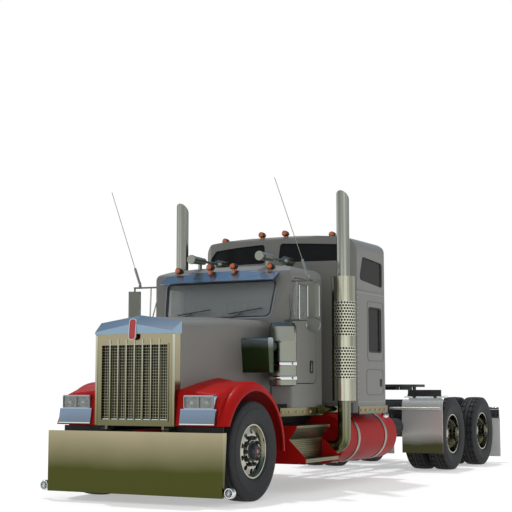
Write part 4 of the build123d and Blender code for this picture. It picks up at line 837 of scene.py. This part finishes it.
class TRUCK_OT_windows(bpy.types.Operator):
    """The windshield's seal, trim and wipers, the vent windows' bars and the bunk windows' seals"""

    bl_idname = "truck.windows"
    bl_label = "Windows"

    def execute(self, context):
        low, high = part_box("windshield")
        tall = high.z - low.z
        lean = (high.y - low.y) - 0.008
        slope = Vector((0, lean, tall)).normalized()
        out = Vector((0, -slope.z, slope.y))
        middle = Vector((0, (low.y + high.y) / 2, (low.z + high.z) / 2)) + out * 0.012
        length = math.hypot(lean, tall)
        foot_x, head_x, end = WINDSHIELD_FOOT + 0.012, WINDSHIELD_HEAD + 0.010, length / 2 + 0.004
        corners = [(-foot_x, -end), (foot_x, -end), (head_x, end), (-head_x, end)]
        seal = band(corners, 0.07, 0.020, 0.012, 6)
        put(seal, middle, out, slope)
        dressed(seal, "windshield_seal", "chassis", "rubber")
        outer = [(x * 1.022, y * 1.05) for x, y in corners]
        trim = band(outer, 0.08, 0.016, 0.014, 6)
        put(trim, middle, out, slope)
        dressed(trim, "windshield_trim", "chassis", "trim_steel")
        wipers = []
        for x in (-0.50, 0.20):
            foot = middle + Vector((x, 0, 0)) - slope * (length / 2 + 0.012) + out * 0.020
            knee = foot + Vector((0.19, 0, 0)) + slope * 0.085 + out * 0.012
            wipers.append(bar(foot - out * 0.02, foot + out * 0.012, 0.014))
            wipers.append(bar(foot, knee, 0.006, 8))
            left = knee - Vector((0.22, 0, 0)) - slope * 0.03
            right = knee + Vector((0.22, 0, 0)) + slope * 0.03
            wipers.append(bar(left, right, 0.006, 8))
            wipers.append(bar(left - out * 0.009, right - out * 0.009, 0.004, 8))
        dressed(joined(wipers), "wipers", "chassis", "trim")
        for side, out_x in SIDES:
            low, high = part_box("door_glass_" + side)
            x = max(out_x * low.x, out_x * high.x) * out_x + out_x * 0.004
            y = low.y + 0.17
            post = bar((x, y, low.z + 0.006), (x, y, high.z - 0.006), 0.009, 12)
            dressed(post, "vent_window_bar_" + side, "door_" + side, "chrome")
        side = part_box("sleeper_shell")[1].x
        seal = band(oblong(0.42, 0.585), 0.045, 0.018, 0.006, 6)
        aside(seal, at(side - 0.002, 3.225, 1.9375))
        dressed(both(seal), "bunk_window_seals", "chassis", "rubber")
        return {"FINISHED"}


# Columns: Y and Z of each row's first rivet, and of its last
RIVET_ROWS = ((2.63, 2.395, 3.52, 2.395), (2.665, 1.08, 2.665, 2.33), (2.70, 1.02, 3.52, 1.02))
# Columns: front, rear, bottom, top of the pressed outlines round the window and the luggage door
PANEL_LINES = ((2.97, 3.50, 1.535, 2.305), (2.935, 3.485, 1.100, 1.435))


class TRUCK_OT_sleeper_trim(bpy.types.Operator):
    """Rivet rows, pressed panel outlines and the luggage door's handle"""

    bl_idname = "truck.sleeper_trim"
    bl_label = "Sleeper trim"

    def execute(self, context):
        sizes = context.scene.truck_sizes
        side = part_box("sleeper_shell")[1].x
        r = sizes.rivet_radius
        first = turned([(0, 0), (0, r), (r * 0.35, r * 0.8), (r * 0.55, r * 0.35), (r * 0.6, 0)], 8)
        aside(first, (side - 0.0005, 0, 0))
        rivets = []
        for y0, z0, y1, z1 in RIVET_ROWS:
            count = int(math.hypot(y1 - y0, z1 - z0) / sizes.rivet_spacing)
            for i in range(count + 1):
                share = i / count
                rivets.append(copied(first, at(0, y0 + (y1 - y0) * share, z0 + (z1 - z0) * share)))
        only(first)
        bpy.ops.object.delete()
        dressed(both(joined(rivets)), "sleeper_rivets", "chassis", "rivet")
        frames = []
        for y0, y1, z0, z1 in PANEL_LINES:
            ring = band(oblong(y1 - y0, z1 - z0), 0.06, 0.011, 0.0035, 6)
            frames.append(aside(ring, at(side - 0.0012, (y0 + y1) / 2, (z0 + z1) / 2)))
        # The pressed outlines are darker than the paint: painted shade of their creases
        dressed(both(joined(frames)), "sleeper_panel_lines", "chassis", "seam_and_crease_shade")
        handle = chunk(at(side - 0.001, 3.39, 1.21), at(side + 0.012, 3.425, 1.31), 0.005)
        dressed(both(handle), "luggage_door_handles", "chassis", "black_steel")
        seams = chunk(at(side - 0.0012, 2.60, 2.425), at(side + 0.0016, 3.52, 2.431), 0.0006)
        dressed(both(seams), "sleeper_roof_seams", "chassis", "seam_and_crease_shade")
        return {"FINISHED"}


# The cab door's face, and the middle of its handle
DOOR_FACE = 0.930
HANDLE_Y = 1.64
HANDLE_Z = 1.44


class TRUCK_OT_doors(bpy.types.Operator):
    """Handles of the cab doors"""

    bl_idname = "truck.doors"
    bl_label = "Door trim"

    def execute(self, context):
        for name, sign in SIDES:
            body = "door_" + name
            cup = band(oblong(0.075, 0.150), 0.020, 0.010, 0.010)
            aside(cup, at(sign * (DOOR_FACE - 0.001), HANDLE_Y, HANDLE_Z), sign)
            dressed(cup, "handle_surround_" + name, body, "black_steel")
            pocket = plate(oblong(0.062, 0.136), 0.016, 0.003)
            aside(pocket, at(sign * (DOOR_FACE - 0.0005), HANDLE_Y, HANDLE_Z), sign)
            dressed(pocket, "handle_pocket_" + name, body, "rubber")
            grip = chunk(at(sign * DOOR_FACE, HANDLE_Y - 0.018, HANDLE_Z - 0.055),
                         at(sign * (DOOR_FACE + 0.016), HANDLE_Y, HANDLE_Z + 0.055), 0.005)
            dressed(grip, "handle_grip_" + name, body, "can_steel")
        return {"FINISHED"}


# The left mirror's middle and the round one's below it, and how far both are turned in
MIRROR = at(1.222, 1.100, 2.180)
ROUND_MIRROR = at(1.222, 1.100, 1.905)
MIRROR_TURN = math.radians(25)
# The left aerial's ends, and the coils of the spring at its foot
AERIAL_FOOT = at(1.152, 1.110, 2.456)
AERIAL_TIP = at(1.090, 0.392, 3.508)
COILS = 15
COIL_PITCH = 0.0135
# Columns: height, radius
ROUND_PANE = ((0, 0), (0, 0.080), (0.004, 0.080), (0.010, 0.055), (0.0125, 0.028), (0.013, 0))


class TRUCK_OT_mirror_brackets(bpy.types.Operator):
    """Inner tube and brace of each mirror bracket, the mirror panes and the aerials' springs"""

    bl_idname = "truck.mirror_brackets"
    bl_label = "Mirrors"

    def execute(self, context):
        inner = bar(at(1.00, 1.105, 1.968), at(1.00, 1.125, 2.418), 0.009, 12)
        brace = bar(at(0.868, 1.118, 2.400), at(0.975, 1.095, 1.972), 0.008, 12)
        dressed(both(joined([inner, brace])), "mirror_tubes", "chassis", "stack_steel")
        back = Vector((-math.sin(MIRROR_TURN), math.cos(MIRROR_TURN), 0))
        pane = put(plate(oblong(0.136, 0.372), 0.018, 0.004), MIRROR + back * 0.029, back, (0, 0, 1))
        dressed(both(pane), "mirror_panes", "chassis", "mirror_glass")
        rise = (AERIAL_TIP - AERIAL_FOOT).normalized()
        coils = [point for i in range(COILS)
                 for point in ((i * COIL_PITCH, 0.0125), (i * COIL_PITCH + 0.0068, 0.0175))]
        end = COILS * COIL_PITCH
        spring = turned([(0, 0)] + coils + [(end, 0.0125), (end, 0)], 14)
        put(spring, AERIAL_FOOT + rise * 0.024, rise, (0, 1, 0))
        dressed(both(spring), "aerial_springs", "chassis", "trim_steel", 20)
        bowl = put(turned(ROUND_PANE, 32), ROUND_MIRROR + back * 0.0165, back, (0, 0, 1))
        dressed(both(bowl), "round_mirror_panes", "chassis", "mirror_glass")
        return {"FINISHED"}


# Places of the skirt lamps along the truck
SKIRT_LAMPS = (0.86, 1.04, 1.22, 1.40, 1.58, 2.72, 2.875, 3.03, 3.185, 3.34, 3.495)
# Columns: height, radius
SKIRT_LENS = ((0, 0), (0, 0.017), (0.007, 0.015), (0.012, 0.009), (0.0135, 0))
SKIRT_RIM = ((-0.001, 0.015), (-0.001, 0.021), (0.003, 0.020), (0.003, 0.015), (-0.001, 0.015))


class TRUCK_OT_marker_lamps(bpy.types.Operator):
    """Small amber lamps along the skirts, in chrome rims"""

    bl_idname = "truck.marker_lamps"
    bl_label = "Skirt lamps"

    def execute(self, context):
        low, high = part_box("side_skirts")
        lamps, rims = [], []
        for y in SKIRT_LAMPS:
            start = at(high.x + 0.3, y, low.z + 0.050)
            hit, place = NODES["side_skirts"].ray_cast(start, Vector((-1, 0, 0)))[:2]
            if not hit:
                raise RuntimeError("a skirt lamp has no strip behind it")
            lamps.append(aside(turned(SKIRT_LENS, 16), place))
            rims.append(aside(turned(SKIRT_RIM, 16), place))
        dressed(both(joined(lamps)), "skirt_lamps", "chassis", "skirt_amber")
        dressed(both(joined(rims)), "skirt_lamp_rims", "chassis", "trim_steel")
        return {"FINISHED"}


# The cloth simulation of the seat pads
PAD_VOXEL = 0.014
PAD_REACH = 0.014
PAD_PRESSURE = 4.0
PAD_FRAMES = 20


def swollen(piece):
    """The pad after a short cloth simulation under pressure, each point moved no further than PAD_REACH."""
    only(piece)
    fine = piece.modifiers.new("fine", "REMESH")
    fine.mode = "VOXEL"
    fine.voxel_size = PAD_VOXEL
    bpy.ops.object.modifier_apply(modifier=fine.name)
    before = [vertex.co.copy() for vertex in piece.data.vertices]
    cloth = piece.modifiers.new("cloth", "CLOTH")
    cloth.settings.use_pressure = True
    cloth.settings.uniform_pressure_force = PAD_PRESSURE
    cloth.settings.effector_weights.gravity = 0
    for step in range(1, PAD_FRAMES + 1):
        bpy.context.scene.frame_set(step)
    bpy.ops.object.modifier_apply(modifier=cloth.name)
    bpy.context.scene.frame_set(1)
    for vertex, start in zip(piece.data.vertices, before):
        move = vertex.co - start
        if move.length > PAD_REACH:
            vertex.co = start + move.normalized() * PAD_REACH
    piece.data.update()
    return piece


class TRUCK_OT_seats(bpy.types.Operator):
    """Padded seats in place of the plain ones"""

    bl_idname = "truck.seats"
    bl_label = "Seats"

    def execute(self, context):
        low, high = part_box("seats")
        front, rear, floor = low.y, high.y, low.z
        for hand, sign in SIDES:
            x = sign * (high.x - 0.24)
            # Columns: name, half width, front and rear, bottom and top above the floor, easing
            pads = (
                ("cushion", 0.222, front + 0.018, rear - 0.150, 0.326, 0.426, 0.035),
                ("back", 0.212, rear - 0.110, rear - 0.034, 0.455, 0.866, 0.03),
                ("head", 0.126, rear - 0.075, rear - 0.030, 0.905, 1.055, 0.018),
            )
            for part, half, y0, y1, z0, z1, ease in pads:
                piece = swollen(chunk((x - half, y0, floor + z0), (x + half, y1, floor + z1), ease))
                dressed(piece, f"seat_{part}_{hand}", "chassis", "cloth", 60)
            stand = chunk((x - 0.17, front + 0.10, floor), (x + 0.17, rear - 0.14, floor + 0.30), 0.02)
            dressed(stand, "seat_stand_" + hand, "chassis", "trim")
        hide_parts("seats")
        return {"FINISHED"}


# The left tank's axis at its filler, its radius, and the filler's lean from level
FILLER = at(0.795, 3.785, 0.580)
TANK_RADIUS = 0.305
FILLER_LEAN = math.radians(55)
FLAP_BOLTS = (0.68, 0.80, 0.93, 1.06, 1.18)
# Columns: height, radius
TANK_CAP = ((0, 0), (0, 0.052), (0.020, 0.050), (0.022, 0.060), (0.044, 0.060), (0.050, 0.052), (0.052, 0))


class TRUCK_OT_tank_caps(bpy.types.Operator):
    """Caps on the fuel tanks, and bolts on the mud flap hangers"""

    bl_idname = "truck.tank_caps"
    bl_label = "Tank caps"

    def execute(self, context):
        out = Vector((math.cos(FILLER_LEAN), 0, math.sin(FILLER_LEAN)))
        seat = FILLER + out * (TANK_RADIUS - 0.012)
        cap = put(turned(TANK_CAP, 32), seat, out, (0, 1, 0))
        grip = put(chunk((-0.05, -0.008, 0.05), (0.05, 0.008, 0.062), 0.003), seat, out, (0, 1, 0))
        dressed(both(joined([cap, grip])), "tank_caps", "chassis", "chrome")
        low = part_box("flap_hangers")[0]
        bolts = [ahead(turned(FLAP_BOLT, 6), (x, low.y + 0.0015, low.z + 0.03)) for x in FLAP_BOLTS]
        dressed(both(joined(bolts)), "flap_bolts", "chassis", "black_steel")
        return {"FINISHED"}


# Columns: place along X, Y, Z of each roof lamp on the left, as in the solids
ROOF_LAMPS = ((0.630, 1.180, 2.610), (0.160, 1.130, 2.628), (0.780, 2.600, 3.135), (0.170, 2.480, 3.170))


# The round lamps on the bumper's ends
BUMPER_LAMP_Z = 0.145
GUARD_BARS = 6
# Columns: height, radius
ROOF_HOUSING = ((-0.034, 0), (-0.034, 0.0375), (-0.028, 0.0385), (0.040, 0.0345), (0.092, 0.0125), (0.097, 0))
BUMPER_CUP = ((-0.075, 0), (-0.075, 0.024), (-0.052, 0.055), (-0.010, 0.057), (0.003, 0.050), (0.003, 0.042),
              (-0.0005, 0.040), (-0.0005, 0))
BUMPER_GLASS = ((0, 0), (0, 0.040), (0.002, 0.039), (0.003, 0.020), (0.0032, 0))


class TRUCK_OT_lamp_housings(bpy.types.Operator):
    """Dark housings behind the roof lamps' lenses, and the round lamps on the bumper's ends"""

    bl_idname = "truck.lamp_housings"
    bl_label = "Lamp housings"

    def execute(self, context):
        shells = [put(turned(ROOF_HOUSING, 20), at(*place), (0, 1, 0), (0, 0, 1)) for place in ROOF_LAMPS]
        dressed(both(joined(shells)), "roof_lamp_housings", "chassis", "dark_housing")
        low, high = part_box("front_bumper")
        x, front = high.x + 0.062, low.y + 0.095 - 0.060
        cup = ahead(turned(BUMPER_CUP, 28), (x, front - 0.004, BUMPER_LAMP_Z))
        dressed(both(cup), "bumper_lamp_cups", "chassis", "chrome")
        guard = []
        centre = Vector((x, front - 0.008, BUMPER_LAMP_Z))
        for i in range(GUARD_BARS):
            turn = math.pi * i / GUARD_BARS
            reach = Vector((math.cos(turn), 0, math.sin(turn))) * 0.041
            guard.append(bar(centre - reach, centre + reach, 0.0035, 8))
        dressed(both(joined(guard)), "bumper_lamp_guards", "chassis", "chrome")
        glass_disc = ahead(turned(BUMPER_GLASS, 24), (x, front - 0.0042, BUMPER_LAMP_Z))
        dressed(both(glass_disc), "bumper_lamp_glass", "chassis", "dark_glass")
        return {"FINISHED"}


# The left air cleaner's axis, and the feet of its bands
CLEANER_X = 0.942
CLEANER_Y = 0.876
CLEANER_BANDS = (1.282, 1.444)
# Columns: height, radius
CLEANER_BAND = ((0.001, 0.1605), (0.001, 0.166), (0.006, 0.168), (0.034, 0.168), (0.039, 0.166), (0.039, 0.1605),
                (0.001, 0.1605))


class TRUCK_OT_bright_bands(bpy.types.Operator):
    """Clamp bands on the air cleaners, and the plates over the rear fenders"""

    bl_idname = "truck.bright_bands"
    bl_label = "Bands and plates"

    def execute(self, context):
        bands = []
        for z in CLEANER_BANDS:
            bands.append(put(turned(CLEANER_BAND, 48), at(CLEANER_X, CLEANER_Y, z)))
            bands.append(chunk(at(1.095, 0.800, z + 0.006), at(1.118, 0.845, z + 0.034), 0.004))
        dressed(both(joined(bands)), "air_cleaner_bands", "chassis", "chrome")
        plates = chunk(at(0.69, 5.395, 1.072), at(1.20, 5.412, 1.168), 0.005)
        feet = [chunk(at(x - 0.02, 5.395, 1.060), at(x + 0.02, 5.44, 1.078), 0.003) for x in (0.78, 1.10)]
        dressed(both(joined([plates] + feet)), "fender_plates", "chassis", "black_steel")
        return {"FINISHED"}


def sleeve(rows, low):
    """A sheet with staggered six-sided holes, rolled to the shield's curve and given its thickness."""
    clear()
    halves = 2 * SLEEVE_COLUMNS
    bpy.ops.mesh.primitive_grid_add(x_subdivisions=halves, y_subdivisions=rows, size=1)
    piece = bpy.context.object
    piece.scale = (SLEEVE_COLUMNS * SLEEVE_PITCH, rows * SLEEVE_PITCH, 1)
    settled(piece)
    mode("EDIT")
    bpy.ops.mesh.select_mode(type="EDGE")
    select("DESELECT")
    mode("OBJECT")
    for edge in piece.data.edges:
        a, b = (piece.data.vertices[i].co for i in edge.vertices)
        column = a.x / SLEEVE_PITCH * 2 + SLEEVE_COLUMNS
        row = int((a.y + b.y) / 2 / SLEEVE_PITCH + rows / 2)
        inside = abs(a.x - b.x) < 1e-6 and 0.5 < column < halves - 0.5
        edge.select = inside and (round(column) + row) % 2 == 1
    mode("EDIT")
    bpy.ops.mesh.dissolve_edges(use_verts=False)
    mode("OBJECT")
    reach = (SLEEVE_COLUMNS - 0.9) * SLEEVE_PITCH / 2
    pick_faces(piece, lambda middle, normal: abs(middle.x) < reach)
    bpy.ops.mesh.inset(thickness=SLEEVE_PITCH * 0.13, use_individual=True, use_boundary=True)
    mode("OBJECT")
    for face in piece.data.polygons:
        if face.select:
            centre = face.center.copy()
            for index in face.vertices:
                place = piece.data.vertices[index].co
                tall = 0.40 if abs(place.x - centre.x) < SLEEVE_PITCH * 0.1 else 0.20
                place.y = centre.y + math.copysign(tall * SLEEVE_PITCH, place.y - centre.y)
    mode("EDIT")
    bpy.ops.mesh.delete(type="FACE")
    mode("OBJECT")
    middle = at(STACK_X, STACK_Y, low + rows * SLEEVE_PITCH / 2)
    for vertex in piece.data.vertices:
        turn = SLEEVE_TURN + vertex.co.x / SLEEVE_RADIUS
        out = Vector((math.cos(turn), math.sin(turn), 0)) * SLEEVE_RADIUS
        vertex.co = middle + out + Vector((0, 0, vertex.co.y))
    tidy(piece)
    thick = piece.modifiers.new("thick", "SOLIDIFY")
    thick.thickness = 0.003
    thick.offset = 1
    bpy.ops.object.modifier_apply(modifier=thick.name)
    return tidy(piece)


class TRUCK_OT_sleeves(bpy.types.Operator):
    """Perforated sleeves on the exhaust shields"""

    bl_idname = "truck.sleeves"
    bl_label = "Perforated sleeves"

    def execute(self, context):
        pieces = [sleeve(rows, low) for low, rows in SLEEVES]
        dressed(both(joined(pieces)), "shield_sleeves", "chassis", "sleeve_steel", 25)
        return {"FINISHED"}


class TRUCK_OT_paint(bpy.types.Operator):
    """Finishes on the solids that stay"""

    bl_idname = "truck.paint"
    bl_label = "Paint and chrome"

    def execute(self, context):
        make_finishes(context.scene.truck_colours)
        for name, piece in NODES.items():
            finish = NODE_FINISHES.get(name, "tyre" if "tyre" in name else "aluminium")
            piece.data.materials.clear()
            piece.data.materials.append(FINISHES[finish])
        return {"FINISHED"}


def looked_at(tree):
    """1 where a camera, mirror or glass ray sees the surface, 0 for the light that it gives."""
    path = node(tree, "ShaderNodeLightPath").outputs
    through = sums(tree, "MAXIMUM", path["Is Glossy Ray"], path["Is Transmission Ray"])
    return sums(tree, "MAXIMUM", path["Is Camera Ray"], through)


# The floor's own colour, and what it adds where it is looked at
FLOOR_GREY = 0.60
FLOOR_GLOW = 0.42
# The sky's light, and its colours from level up as bright metal shows them
SKY_LIGHT = 0.72
SKY_COLOURS = ((0.10, (1.0, 1.0, 1.0, 1)), (0.40, (0.34, 0.44, 0.56, 1)), (0.70, (0.13, 0.21, 0.31, 1)))
SUN_LIGHT = 1.4
SUN_DIRECTION = Vector((0.26, -0.20, -0.95))
# The camera that was fitted to the photograph, its focal length in pixels of a picture 512 wide
CAMERA_PLACE = at(7.231, -11.504, 1.18)
CAMERA_TURN = math.radians(28.182)
CAMERA_TIP = math.radians(6.198)
CAMERA_FOCAL = 1224.353
PICTURE_WIDTH = 512
SENSOR_WIDTH = 36.0


class TRUCK_OT_stage(bpy.types.Operator):
    """Pale floor, soft light and the camera"""

    bl_idname = "truck.stage"
    bl_label = "Stage"

    def floor(self):
        clear()
        bpy.ops.mesh.primitive_plane_add(size=160, location=(0, 30, 0))
        floor = bpy.context.object
        floor.name = "floor"
        white = bpy.data.materials.new("floor_white")
        white.use_nodes = True
        tree = white.node_tree
        feed(tree, tree.nodes["Principled BSDF"], {
            "Base Color": (FLOOR_GREY, FLOOR_GREY, FLOOR_GREY, 1), "Roughness": 0.95, "Specular IOR Level": 0.0,
            "Emission Color": (1, 1, 1, 1), "Emission Strength": sums(tree, "MULTIPLY", looked_at(tree), FLOOR_GLOW),
        })
        floor.data.materials.append(white)

    def sky(self, scene):
        scene.world = scene.world or bpy.data.worlds.new("studio")
        scene.world.use_nodes = True
        tree = scene.world.node_tree
        tree.nodes.clear()
        way = node(tree, "ShaderNodeTexCoord").outputs["Generated"]
        height = node(tree, "ShaderNodeSeparateXYZ", {"Vector": way}).outputs["Z"]
        ramp = node(tree, "ShaderNodeValToRGB", {"Fac": height})
        stops = ramp.color_ramp.elements
        stops[0].position, stops[0].color = SKY_COLOURS[0]
        stops[1].position, stops[1].color = SKY_COLOURS[2]
        stops.new(SKY_COLOURS[1][0]).color = SKY_COLOURS[1][1]
        glossy = node(tree, "ShaderNodeLightPath").outputs["Is Glossy Ray"]
        colour = shade(tree, glossy, (1.0, 1.0, 1.0), ramp.outputs["Color"])
        strength = between(tree, looked_at(tree), SKY_LIGHT, 1.0)
        back = node(tree, "ShaderNodeBackground", {"Color": colour, "Strength": strength})
        node(tree, "ShaderNodeOutputWorld", {"Surface": back.outputs["Background"]})

    def sun(self, scene):
        light = bpy.data.lights.new("key", "SUN")
        light.energy = SUN_LIGHT
        light.angle = math.radians(3)
        key = bpy.data.objects.new("key", light)
        scene.collection.objects.link(key)
        key.rotation_mode = "QUATERNION"
        key.rotation_quaternion = SUN_DIRECTION.to_track_quat("-Z", "Y")

    def camera(self, scene):
        data = bpy.data.cameras.new("camera")
        camera = bpy.data.objects.new("camera", data)
        scene.collection.objects.link(camera)
        data.sensor_fit = "HORIZONTAL"
        data.sensor_width = SENSOR_WIDTH
        data.lens = SENSOR_WIDTH * CAMERA_FOCAL / PICTURE_WIDTH
        data.clip_end = 500
        level = math.cos(CAMERA_TIP)
        forward = Vector((-math.sin(CAMERA_TURN) * level, math.cos(CAMERA_TURN) * level, math.sin(CAMERA_TIP)))
        camera.location = CAMERA_PLACE
        camera.rotation_mode = "QUATERNION"
        camera.rotation_quaternion = forward.to_track_quat("-Z", "Y")
        scene.camera = camera

    def execute(self, context):
        context.scene.view_settings.view_transform = "Standard"
        self.floor()
        self.sky(context.scene)
        self.sun(context.scene)
        self.camera(context.scene)
        return {"FINISHED"}


OPERATORS = (
    TRUCK_OT_paint, TRUCK_OT_tyres, TRUCK_OT_hubs, TRUCK_OT_nose, TRUCK_OT_headlamps, TRUCK_OT_windows,
    TRUCK_OT_sleeper_trim, TRUCK_OT_doors, TRUCK_OT_mirror_brackets, TRUCK_OT_marker_lamps, TRUCK_OT_seats,
    TRUCK_OT_tank_caps, TRUCK_OT_lamp_housings, TRUCK_OT_bright_bands, TRUCK_OT_sleeves, TRUCK_OT_stage,
)


class TRUCK_PT_sidebar(bpy.types.Panel):
    """The truck's pieces and settings"""

    bl_label = "Tractor unit"
    bl_idname = "TRUCK_PT_sidebar"
    bl_space_type = "VIEW_3D"
    bl_region_type = "UI"
    bl_category = "Truck"

    def draw(self, context):
        for group in (context.scene.truck_colours, context.scene.truck_sizes):
            for name in group.__annotations__:
                self.layout.prop(group, name)
        for operator in OPERATORS:
            self.layout.operator(operator.bl_idname)


CLASSES = (TruckColours, TruckSizes) + OPERATORS + (TRUCK_PT_sidebar,)


def register():
    for one in CLASSES:
        bpy.utils.register_class(one)
    bpy.types.Scene.truck_colours = PointerProperty(type=TruckColours)
    bpy.types.Scene.truck_sizes = PointerProperty(type=TruckSizes)


def unregister():
    del bpy.types.Scene.truck_sizes
    del bpy.types.Scene.truck_colours
    for one in reversed(CLASSES):
        bpy.utils.unregister_class(one)


def main():
    register()
    bpy.ops.truck.paint()
    bpy.ops.truck.tyres()
    bpy.ops.truck.hubs()
    bpy.ops.truck.nose()
    bpy.ops.truck.headlamps()
    bpy.ops.truck.windows()
    bpy.ops.truck.sleeper_trim()
    bpy.ops.truck.doors()
    bpy.ops.truck.mirror_brackets()
    bpy.ops.truck.marker_lamps()
    bpy.ops.truck.seats()
    bpy.ops.truck.tank_caps()
    bpy.ops.truck.lamp_housings()
    bpy.ops.truck.bright_bands()
    bpy.ops.truck.sleeves()
    bpy.ops.truck.stage()
    clear()


if __name__ == "__main__":
    main()
